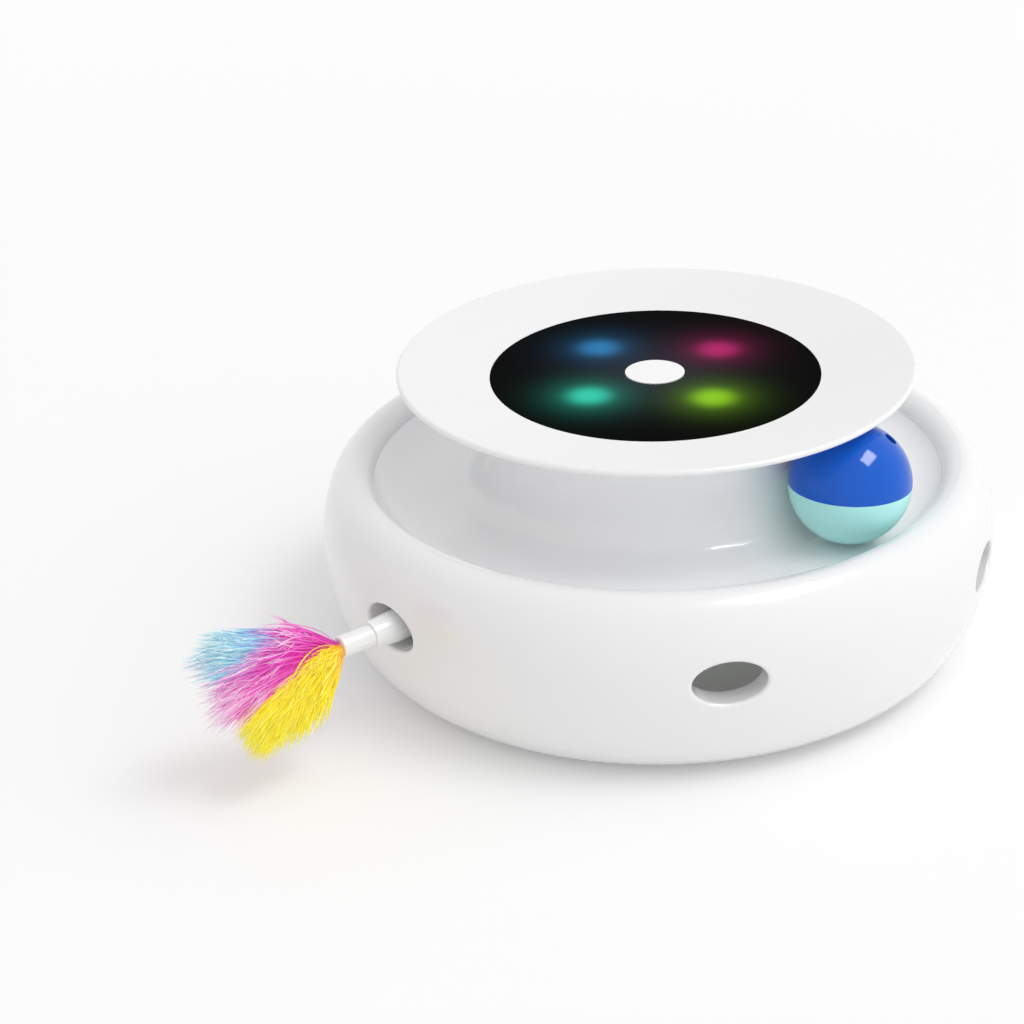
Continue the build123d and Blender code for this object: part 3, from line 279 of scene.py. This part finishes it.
nickel_strip = metal(
    "nickel_strip",
    colour=(0.74, 0.72, 0.68),
    worn=(0.60, 0.58, 0.55),
    roughness=0.3,
    run=(1, 1, 0.15),
)
paint(nickel_strip, "battery_contacts")

# Battery cells
# Round cells in a bare metal can under a dark shrunk jacket, with a plain paler band at one end.
# They lie side by side in the bay, every other one turned round, and make contact at both ends.
cell_material, cell_shader, cell_place = blank_finish("cell_jacket", {"Coat Weight": 0.4})
cell_low, cell_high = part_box("battery_cells")
cell_count = 4
jacket_dark = (0.10, 0.11, 0.13)
jacket_pale = (0.62, 0.60, 0.55)
can_bright = (0.66, 0.66, 0.65)
can_dull = (0.30, 0.30, 0.30)
foot_to = 0.03
band_from = 0.78
cap_from = 0.955
mottle_share = 0.15
can_metallic = 0.9
cell_number = (cell_place.coordinate("X") - cell_low.x) / (cell_high.x - cell_low.x) * cell_count
cell_turned = cell_number.maths("MODULO", cell_number, 2.0) > 1.0
cell_straight = (cell_place.coordinate("Y") - cell_low.y) / (cell_high.y - cell_low.y)
cell_share = cell_straight + cell_turned * (1 - 2 * cell_straight)
cell_band = cell_share > band_from
cell_end = (cell_share > cap_from) + (foot_to - cell_share > 0.0)
cell_mottle = cell_place.noise(lumps=300, detail=3)
cell_jacket = cell_band.between(jacket_dark, jacket_pale)
cell_skin = cell_end.between(cell_jacket, can_bright)
feed(
    cell_shader,
    Base_Color=(cell_mottle * mottle_share).between(cell_skin, can_dull),
    Roughness=cell_mottle.ranged(0.28, 0.40),
    Metallic=can_metallic * cell_end,
)
paint(cell_material, "battery_cells")

# Battery door
# A flat moulded lid under the bay, hung on two short pins along one edge, with grip grooves at the
# other. The same etched white as the base plate.
paint(etched_white, "battery_door")

# Ratchet ring, turret and feather carriage
# The ring, the turret plate, its pawl and the toothed slide are moulded in a low-friction plastic,
# slightly yellower than the case and waxy to the touch; they slide and turn dry.
waxy_plastic = moulded_plastic(
    "waxy_plastic",
    colour=(0.74, 0.73, 0.68),
    shade=(0.68, 0.67, 0.61),
    roughness=0.42,
    grain=1500,
    depth=0.00004,
    coat=0.0,
)
# Painted glow on these parts where they stand above the plate's floor.
painted_shine_through(waxy_plastic, above=lit_above, level=0.12)
paint(waxy_plastic, "ratchet_ring", "turret_plate", "slide_rails", "feather_rack", "pawl")

# Washers, pin and spring of the turret
# Turned and stamped steel with a thin zinc plating: the thrust washer under the plate, the washer
# that keeps it down, the pin that the pawl swings on and the spring that presses the pawl in.
zinc_steel = metal(
    "zinc_steel",
    colour=(0.66, 0.66, 0.67),
    worn=(0.52, 0.52, 0.54),
    roughness=0.32,
    run=(1, 1, 0.2),
)
paint(zinc_steel, "thrust_washer", "turret_washer", "pawl_pin", "pawl_spring")

# Deck and drive
# A plain moulded deck carries the motor; a rubber belt takes its pulley's turn to the large pulley
# on the steel shaft, which runs in two brass bushes and has the pinion for the rack at its foot.
# The deck and the plastic pulleys below carry the painted glow of their finishes.
paint(etched_white, "deck_plate")
black_rubber = rubber("black_rubber", colour=(0.035, 0.035, 0.035), dust=(0.09, 0.09, 0.09), grain=1800)
paint(black_rubber, "drive_belt")
paint(waxy_plastic, "drive_pulley", "motor_pulley", "rack_pinion")
paint(zinc_steel, "drive_shaft", "motor_shaft")
motor_steel = metal(
    "motor_steel",
    colour=(0.62, 0.62, 0.61),
    worn=(0.47, 0.47, 0.47),
    roughness=0.38,
    run=(1, 1, 0.1),
)
paint(motor_steel, "motor_can")
turned_brass = metal(
    "turned_brass",
    colour=(0.78, 0.58, 0.24),
    worn=(0.62, 0.44, 0.17),
    roughness=0.28,
    run=(0.3, 1, 1),
)
paint(turned_brass, "shaft_bushes")

# Outer shell
# The white housing, moulded in one piece with the six oval holes and the rolled rim.
# A bright gloss skin with the faint orange peel of polished tooling and a few rubbed places.
gloss_white = moulded_plastic(
    "gloss_white",
    colour=(0.848, 0.848, 0.85),
    shade=(0.826, 0.828, 0.834),
    roughness=0.2,
    grain=380,
    depth=0.000012,
    coat=0.3,
)
paint(gloss_white, "outer_shell")

# Ring track and column
# The track that the ball runs in and the waisted column, one gloss moulding held by screws through a
# ledge of the shell. The same gloss as the shell, painted a slightly brighter white to lift the shade
# under the cap, with a faint painted glow standing in for light through its thin wall.
painted_lighter_track_white = moulded_plastic(
    "painted_lighter_track_white",
    colour=(0.895, 0.895, 0.902),
    shade=(0.875, 0.878, 0.888),
    roughness=0.2,
    grain=380,
    depth=0.000012,
    coat=0.3,
)
# Painted glow over the whole track and column.
painted_shine_through(painted_lighter_track_white, above=0.0, level=0.02)
paint(painted_lighter_track_white, "track_column")

# Control board
# A round lacquered circuit board under the panel: green lacquer over copper runs, with tinned pads.
# Three screws hold it to posts of the column.
board_green, board_shader, board_place = blank_finish("board_green", {"Coat Weight": 0.2})
lacquer_dark = (0.016, 0.15, 0.06)
lacquer_pale = (0.03, 0.26, 0.11)
tin = (0.70, 0.70, 0.68)
run_edge = 0.72
pad_size = 0.16
board_waves = board_place.node(
    "ShaderNodeTexWave",
    {"bands_direction": "DIAGONAL"},
    {"Vector": board_place, "Scale": 160.0, "Distortion": 3.0},
)
board_spots = board_place.node(
    "ShaderNodeTexVoronoi",
    {"feature": "F1"},
    {"Vector": board_place, "Scale": 190.0, "Randomness": 0.7},
)
board_pad = pad_size - board_spots > 0.0
board_lacquer = (board_waves > run_edge).between(lacquer_dark, lacquer_pale)
feed(
    board_shader,
    Base_Color=board_pad.between(board_lacquer, tin),
    Metallic=board_pad,
    Roughness=board_place.noise(lumps=400, detail=3).ranged(0.35, 0.5),
)
paint(board_green, "control_board")

# Switch under the button
# A small push switch soldered in the middle of the board: a black moulded body with a round plunger.
# Fine matt grain as moulded.
switch_black = moulded_plastic(
    "switch_black",
    colour=(0.035, 0.035, 0.036),
    shade=(0.025, 0.025, 0.025),
    roughness=0.5,
    grain=3000,
    depth=0.00004,
    coat=0.0,
)
paint(switch_black, "tact_switch", "switch_plunger")

# Lamps
# Four round lamps of tinted clear resin, soldered to the board in a ring under the panel.
# Each is brightest over its chip, in the middle of the dome.
lamp_colours = {
    "led_blue": (0.025, 0.20, 0.44),
    "led_magenta": (0.44, 0.017, 0.14),
    "led_teal": (0.034, 0.62, 0.43),
    "led_lime": (0.26, 0.60, 0.012),
}
resin_constants = {"Roughness": 0.1, "Emission Strength": 1.0}
resin_pale = (0.8, 0.8, 0.8)
milk_share = 0.4
chip_reach = 0.0022
chip_share = 0.8
edge_level = 0.3
lamp_places = {}
for lamp, colour in lamp_colours.items():
    lamp_low, lamp_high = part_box(lamp)
    lamp_places[lamp] = (lamp_low + lamp_high) / 2
    resin, resin_shader, resin_place = blank_finish(lamp + "_resin", resin_constants)
    chip = resin_place.distance_to(lamp_places[lamp]).falloff(chip_reach, 2)
    milk = resin_place.noise(lumps=900, detail=3)
    edge_colour = tuple(edge_level * part for part in colour)
    feed(
        resin_shader,
        Base_Color=(milk * milk_share).between(colour, resin_pale),
        Emission_Color=(chip * chip_share).between(edge_colour, colour),
    )
    paint(resin, lamp)

# Top cap
# The shallow dished disc on the column, gloss white as the shell; three screws hold it from below.
# A cat rests its paws on it, so its gloss is a little rubbed.
paint(gloss_white, "top_cap")

# Display panel
# A smoked black disc let into the cap with a hole for the button. It is black until a lamp under it
# is lit: then the light shows as a soft round glow that fades into the black.
panel_constants = {"Specular IOR Level": 0.002, "Emission Strength": 1.0}
panel_black, panel_shader, panel_place = blank_finish("panel_black", panel_constants)
panel_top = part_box("display_panel")[1].z
smoke_dark = (0.0006, 0.0006, 0.0006)
smoke_pale = (0.002, 0.0022, 0.002)
# A faint grey-blue painted glow also fills the middle of the panel, apart from the lamps' glows.
painted_haze_colour = (0.022, 0.022, 0.032)
painted_haze_reach = 0.026
glow_rings = (
    {"share": 0.66, "reach": 0.0070, "power": 3},
    {"share": 0.22, "reach": 0.0112, "power": 2},
    {"share": 0.075, "reach": 0.0158, "power": 2},
)
panel_light = panel_place.distance_to((0, 0, panel_top)).falloff(painted_haze_reach, 2).tinted(painted_haze_colour)
for lamp, colour in lamp_colours.items():
    above_lamp = Vector((lamp_places[lamp].x, lamp_places[lamp].y, panel_top))
    off = panel_place.distance_to(above_lamp)
    glow = sum(ring["share"] * off.falloff(ring["reach"], ring["power"]) for ring in glow_rings)
    panel_light = panel_light.vectors("ADD", {0: panel_light, 1: glow.tinted(colour)}, "Vector")
feed(
    panel_shader,
    Base_Color=panel_place.noise(lumps=30, detail=2).between(smoke_dark, smoke_pale),
    Roughness=panel_place.noise(lumps=800, detail=4).ranged(0.12, 0.22),
    Emission_Color=panel_light,
)
paint(panel_black, "display_panel")

# Push button
# A round white cap in the middle of the panel, slightly domed, that presses the switch.
# Polished, so it is the brightest white of the toy.
button_white = moulded_plastic(
    "button_white",
    colour=(0.90, 0.90, 0.90),
    shade=(0.885, 0.885, 0.89),
    roughness=0.22,
    grain=500,
    depth=0.00001,
    coat=0.3,
)
paint(button_white, "button_cap")

# Ball
# Two thin gloss shells that meet at a seam, deep blue and pale aqua, each with a sound hole, and a
# small bell inside. They show a faint swirl of the dyed plastic and small scuffs from rolling.
def dyed_shell(name, colour, shade):
    """Dyed gloss plastic: tone swirled by bent noise, small scuffs in the gloss."""
    material, shader, place = blank_finish(name, {"Specular IOR Level": 0.30})
    swirl = place.node("ShaderNodeTexNoise", {}, {"Vector": place, "Scale": 40.0, "Distortion": 1.5})
    scuffs = place.noise(lumps=1600, detail=5)
    dents = place.noise(lumps=500, detail=2)
    feed(
        shader,
        Base_Color=swirl.between(shade, colour),
        Roughness=scuffs.ranged(0.05, 0.13),
        Normal=dents.bump(strength=0.3, depth=0.000008),
    )
    return material


ball_blue = dyed_shell("ball_blue", colour=(0.002, 0.108, 0.60), shade=(0.002, 0.092, 0.54))
ball_aqua = dyed_shell("ball_aqua", colour=(0.46, 0.88, 0.86), shade=(0.42, 0.83, 0.81))
paint(ball_blue, "ball_upper_half")
paint(ball_aqua, "ball_lower_half")
paint(turned_brass, "ball_bell")

# Feather holder and stem
# A tapered white socket rod screwed to the carriage, and the thin white stem of the feather refill
# pushed into it. Gloss plastic, a little scratched lengthwise where it slides.
rod_white, rod_shader, rod_place = blank_finish("rod_white", {"Coat Weight": 0.2})
rod_dull = (0.84, 0.84, 0.84)
rod_bright = (0.88, 0.88, 0.88)
scratch_run = (0.06, 1, 1)
rod_scratches = rod_place.stretched(scratch_run).noise(lumps=1400, detail=4)
feed(
    rod_shader,
    Base_Color=rod_place.noise(lumps=60, detail=3).between(rod_dull, rod_bright),
    Roughness=rod_scratches.ranged(0.2, 0.35),
    Normal=rod_scratches.bump(strength=0.3, depth=0.00001),
)
paint(rod_white, "feather_holder", "feather_stem")

# Plume
# Dyed down glued to the end of the stem: some three thousand fine soft strands that fan out and droop,
# blue at the top, pink in the middle and yellow below.
plume_dye_names = ("blue", "pink", "yellow")
stem_low, stem_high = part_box("feather_stem")
plume_root = np.array([stem_low.x, 0.0, (stem_low.z + stem_high.z) / 2])
plume_low = np.min([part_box("plume_" + dye)[0] for dye in plume_dye_names], axis=0)
plume_high = np.max([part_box("plume_" + dye)[1] for dye in plume_dye_names], axis=0)
stem_end_radius = 0.0028
root_share = 0.65
root_lean = 0.15
strand_steps = 9
strand_sides = 3
strand_flatness = 0.5
bow_spread = 0.0022
bow_lift = np.array([0, 0, 0.0025])
bow_shares = np.array([0.55, 0.42, 0.45])
waver_size = 0.0009
waver_rate = 7
waver_shares = np.array([0.3, 1, 1])
width_at_root = 0.45
width_growth = 0.9
taper_power = 5
tip_half = 0.00003
thinnest = 0.6
thickest = 1.3
least_length = 1e-9


def unit(vectors):
    """Each vector brought to length one."""
    return vectors / np.maximum(np.linalg.norm(vectors, axis=2, keepdims=True), least_length)


def strand_surface(seed, count, corners, sides, width):
    """Strands as one surface. At share t from root to tip a strand's line is
    (1 - t)^2 root + 2 t (1 - t) middle + t^2 tip + waver_size t sin(phase + waver_rate t),
    and its half width is width (width_at_root + width_growth t) (1 - t^taper_power) + tip_half.
    Roots lie on the stem's end, and tips are spread over a four-cornered patch, out and up from it.
    The section is a flat triangle."""
    chance = np.random.default_rng(seed)
    along = np.linspace(0, 1, strand_steps)
    patch = np.array(corners)
    across = chance.random((count, 2))
    low_edge = patch[0] + (patch[1] - patch[0]) * across[:, :1]
    high_edge = patch[2] + (patch[3] - patch[2]) * across[:, :1]
    reach = low_edge + (high_edge - low_edge) * across[:, 1:]
    aside = sides[0] + (sides[1] - sides[0]) * chance.random(count)
    turn = chance.random(count) * 2 * np.pi
    ring = root_share * stem_end_radius * np.sqrt(chance.random(count))
    lean = root_lean * (sides[0] + sides[1]) / 2
    root = plume_root + np.stack([0 * ring, lean + ring * np.cos(turn), ring * np.sin(turn)], 1)
    tip = plume_root + np.stack([-reach[:, 0], aside, reach[:, 1]], 1)
    bow = chance.normal(0, bow_spread, (count, 3)) + bow_lift
    middle = root + (tip - root) * bow_shares + bow
    t = along[None, :, None]
    line = (1 - t) ** 2 * root[:, None] + 2 * t * (1 - t) * middle[:, None] + t**2 * tip[:, None]
    phase = chance.random((count, 1, 3)) * 2 * np.pi
    line = line + waver_size * t * np.sin(phase + waver_rate * t) * waver_shares
    line = np.clip(line, plume_low, plume_high)
    heading = unit(np.gradient(line, axis=1))
    spin = chance.normal(0, 1, (count, 1, 3))
    flat = unit(np.cross(heading, spin))
    thick = np.cross(heading, flat)
    half = width * (width_at_root + width_growth * along) * (1 - along**taper_power) + tip_half
    half = half[None, :, None] * chance.uniform(thinnest, thickest, (count, 1, 1))
    corner = np.arange(strand_sides) * 2 * np.pi / strand_sides
    points = (
        line[:, :, None]
        + half[:, :, None] * flat[:, :, None] * np.cos(corner)[:, None]
        + half[:, :, None] * thick[:, :, None] * strand_flatness * np.sin(corner)[:, None]
    )
    points = np.clip(points, plume_low, plume_high)
    first = np.arange(count)[:, None, None] * strand_steps * strand_sides
    step = np.arange(strand_steps - 1)[None, :, None] * strand_sides
    side = np.arange(strand_sides)[None, None, :]
    beside = (side + 1) % strand_sides
    back = first + step
    front = back + strand_sides
    quads = np.stack([back + side, back + beside, front + beside, front + side], -1).reshape(-1, 4)
    start = first[:, :, 0] + np.arange(strand_sides)[::-1]
    end = first[:, :, 0] + (strand_steps - 1) * strand_sides + np.arange(strand_sides)
    caps = np.concatenate([start, end])
    share = np.broadcast_to(along[None, :, None], (count, strand_steps, strand_sides))
    shade = np.broadcast_to(chance.random((count, 1, 1)), share.shape)
    return points.reshape(-1, 3), quads, caps, np.stack([shade.ravel(), share.ravel()], 1)


def strand_piece(name, points, quads, caps, chart):
    """A mesh piece of four-sided faces with three-sided ends and a UV map from the chart."""
    mesh = bpy.data.meshes.new(name)
    corners = np.concatenate([quads.ravel(), caps.ravel()])
    sizes = np.concatenate([np.full(len(quads), 4), np.full(len(caps), strand_sides)])
    mesh.vertices.add(len(points))
    mesh.vertices.foreach_set("co", points.astype(np.float32).ravel())
    mesh.loops.add(len(corners))
    mesh.loops.foreach_set("vertex_index", corners.astype(np.int32))
    mesh.polygons.add(len(sizes))
    mesh.polygons.foreach_set("loop_start", (np.cumsum(sizes) - sizes).astype(np.int32))
    mesh.update(calc_edges=True)
    layer = mesh.uv_layers.new(name="strand")
    layer.data.foreach_set("uv", chart[corners].astype(np.float32).ravel())
    mesh.polygons.foreach_set("use_smooth", np.ones(len(sizes), bool))
    mesh.validate()
    piece = bpy.data.objects.new(name, mesh)
    bpy.context.scene.collection.objects.link(piece)
    return piece


def dyed_down(name, stops):
    """Dyed feather: colour runs along the strand, each strand a little lighter or darker than the next.
    A part of the colour is a painted glow, standing in for the light that passes through the thin
    strands."""
    constants = {"Specular IOR Level": 0.15, "Sheen Weight": 0.15, "Emission Strength": 0.2}
    material, shader, place = blank_finish(name, constants)
    pale = (1.0, 0.97, 0.95)
    pale_share = 0.12
    streak_run = (0.2, 1, 1)
    streak_share = 0.25
    shift = 0.125
    chart = place.node("ShaderNodeUVMap", {"uv_map": "strand"}, {})
    shade = chart.coordinate("X")
    share = chart.coordinate("Y") + shade.ranged(-shift, shift)
    run = place.node("ShaderNodeValToRGB", {"stops": stops}, {0: share})
    lighter = (shade * pale_share).between(run, pale)
    streaks = place.stretched(streak_run).noise(lumps=500, detail=2)
    dye = (streaks * streak_share).between(lighter, run)
    # The strand's colour also feeds the painted glow.
    feed(shader, Base_Color=dye, Emission_Color=dye, Roughness=shade.ranged(0.7, 0.9))
    return material


plume_shapes = {
    "blue": {
        "seed": 11,
        "count": 620,
        "corners": [(0.046, 0.0180), (0.054, 0.007), (0.036, 0.0185), (0.042, 0.006)],
        "sides": (-0.003, 0.011),
        "width": 0.00030,
    },
    "pink": {
        "seed": 12,
        "count": 1150,
        "corners": [(0.052, 0.010), (0.048, -0.0145), (0.020, 0.0175), (0.030, -0.010)],
        "sides": (-0.006, 0.010),
        "width": 0.00030,
    },
    "yellow": {
        "seed": 13,
        "count": 1350,
        "corners": [(0.013, -0.0205), (0.040, -0.0238), (0.012, 0.004), (0.046, -0.012)],
        "sides": (-0.0112, -0.003),
        "width": 0.00036,
    },
}
plume_dyes = {
    "blue": [
        (0, (0.70, 0.01, 0.42)),
        (0.45, (0.80, 0.03, 0.54)),
        (0.68, (0.46, 0.40, 0.76)),
        (0.82, (0.24, 0.62, 0.78)),
        (1, (0.72, 0.90, 0.91)),
    ],
    "pink": [
        (0, (0.66, 0.005, 0.38)),
        (0.45, (0.80, 0.015, 0.50)),
        (0.75, (0.84, 0.13, 0.60)),
        (1, (0.94, 0.76, 0.88)),
    ],
    "yellow": [
        (0, (0.93, 0.44, 0.005)),
        (0.25, (0.94, 0.66, 0.005)),
        (0.7, (0.94, 0.80, 0.004)),
        (1, (0.90, 0.84, 0.06)),
    ],
}
for dye, shape in plume_shapes.items():
    down = strand_piece("down_" + dye, *strand_surface(**shape))
    down.data.materials.append(dyed_down("down_" + dye, plume_dyes[dye]))
    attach(down, "feather")
    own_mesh(down)
    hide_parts("plume_" + dye)

# Screws
# Zinc-plated self-tapping screws: they hold the plate, deck, track, cap, board, rails, holder and
# ratchet ring, and a single one keeps the turret on its post.
paint(zinc_steel, "base_screws", "deck_screws", "track_screws", "cap_screws", "board_screws")
paint(zinc_steel, "rail_screws", "holder_screws", "ratchet_screws", "turret_screw")

# Floor
# A pale paper sweep under the toy, wide enough to fill the view; it takes the toy's soft shadow and
# fades into the white room far from it.
floor_half = 8.0
floor_near = 0.5
floor_far = 4.0
fibre_share = 0.5
paper_dull = (0.824, 0.824, 0.824)
paper_bright = (0.832, 0.832, 0.832)
# Painted glow on the paper: it lifts the toy's shadow near it and grows brighter further out.
glow_near = (0.125, 0.125, 0.125)
glow_far = (0.28, 0.28, 0.28)
floor_mesh = bpy.data.meshes.new("floor")
floor_corners = np.array([(-1, -1, 0), (1, -1, 0), (1, 1, 0), (-1, 1, 0)]) * floor_half
floor_mesh.from_pydata(floor_corners.tolist(), [], [(0, 1, 2, 3)])
floor = bpy.data.objects.new("floor", floor_mesh)
bpy.context.scene.collection.objects.link(floor)
floor_constants = {"Specular IOR Level": 0.0, "Roughness": 1.0, "Emission Strength": 1.0}
floor_paper, floor_shader, floor_place = blank_finish("floor_paper", floor_constants)
floor_share = (floor_place.distance_to((0, 0, 0)) - floor_near) / (floor_far - floor_near)
floor_fibres = floor_place.noise(lumps=900, detail=3) * fibre_share
feed(
    floor_shader,
    Base_Color=floor_fibres.between(paper_dull, paper_bright),
    Emission_Color=floor_share.between(glow_near, glow_far),
)
floor_mesh.materials.append(floor_paper)

# Light
# An even pale room, a wide soft light from the front right and a soft box higher up on that side, at
# about the level where a colour looks as it is written. The box is two lamps: one gives its light,
# and the other, a little nearer, only shows in the gloss.
white = (1, 1, 1, 1)
room_level = 0.69
room_seen_level = 1.0
side_towards = (0.36, -0.58, 0.72)
side_away = 3
side_level = 0.25
side_spread = 90
box_towards = (0.22, -0.47, 0.86)
box_away = 10
box_gap = 0.5
box_width = 4.6
box_height = 2.9
box_level = 0.17
box_shine = 16
room = bpy.data.worlds.new("room")
bpy.context.scene.world = room
room.use_nodes = True
room_tree = room.node_tree
room_tree.nodes.clear()
room_path = room_tree.nodes.new("ShaderNodeLightPath")
room_seen = Wire(room_tree, room_path.outputs["Is Camera Ray"])
for ray in ("Is Glossy Ray", "Is Transmission Ray"):
    room_seen = room_seen.maths("MAXIMUM", room_seen, Wire(room_tree, room_path.outputs[ray]))
room_light = room_seen.node("ShaderNodeBackground", {}, {"Color": white, "Strength": room_level})
room_white = room_seen.node("ShaderNodeBackground", {}, {"Color": white, "Strength": room_seen_level})
room_mix = room_seen.node("ShaderNodeMixShader", {}, {0: room_seen, 1: room_light, 2: room_white})
room_out = room_tree.nodes.new("ShaderNodeOutputWorld")
room_tree.links.new(room_mix.socket, room_out.inputs["Surface"])


def aimed_lamp(name, kind, towards, away):
    """A lamp at a distance from the toy along a direction, turned to face it."""
    lamp_data = bpy.data.lights.new(name, kind)
    lamp_object = bpy.data.objects.new(name, lamp_data)
    bpy.context.scene.collection.objects.link(lamp_object)
    direction = Vector(towards).normalized()
    lamp_object.location = direction * away
    lamp_object.rotation_mode = "QUATERNION"
    lamp_object.rotation_quaternion = direction.to_track_quat("Z", "Y")
    return lamp_object


sidelight = aimed_lamp("sidelight", "SUN", side_towards, side_away)
sidelight.data.energy = side_level * math.pi
sidelight.data.angle = math.radians(side_spread)
sidelight.visible_glossy = False
softbox = aimed_lamp("softbox", "AREA", box_towards, box_away)
softbox.data.energy = box_level * (math.pi * box_away) ** 2 / box_towards[2]
softbox.visible_glossy = False
softbox_shine = aimed_lamp("softbox_shine", "AREA", box_towards, box_away - box_gap)
softbox_shine.data.energy = box_shine * math.pi * box_width * box_height
softbox_shine.visible_diffuse = False
for box in (softbox, softbox_shine):
    box.data.shape = "RECTANGLE"
    box.data.size = box_width
    box.data.size_y = box_height

# Camera
# It looks down at the toy from the front left, from the height of someone kneeling beside it.
# Its place is a turn about the toy's middle, a distance out and a height; angles are in degrees.
camera_turn = -41.2
camera_away = 0.763247
camera_height = 0.424104
camera_pan = 3.7503
camera_tilt = 63.57628
camera_roll = -2.238715
camera_data = bpy.data.cameras.new("camera")
camera_data.sensor_width = 36
camera_data.lens = 86.4
camera_data.clip_start = 0.02
camera_data.clip_end = 60
camera = bpy.data.objects.new("camera", camera_data)
bpy.context.scene.collection.objects.link(camera)
camera_axes = Matrix.Rotation(math.radians(camera_turn), 4, "Z")
camera_axes = camera_axes @ Matrix.Translation((0, -camera_away, camera_height))
for angle, axis in ((camera_pan, "Z"), (camera_tilt, "X"), (camera_roll, "Z")):
    camera_axes = camera_axes @ Matrix.Rotation(math.radians(angle), 4, axis)
camera.matrix_world = camera_axes
bpy.context.scene.camera = camera
bpy.context.scene.view_settings.view_transform = "Standard"
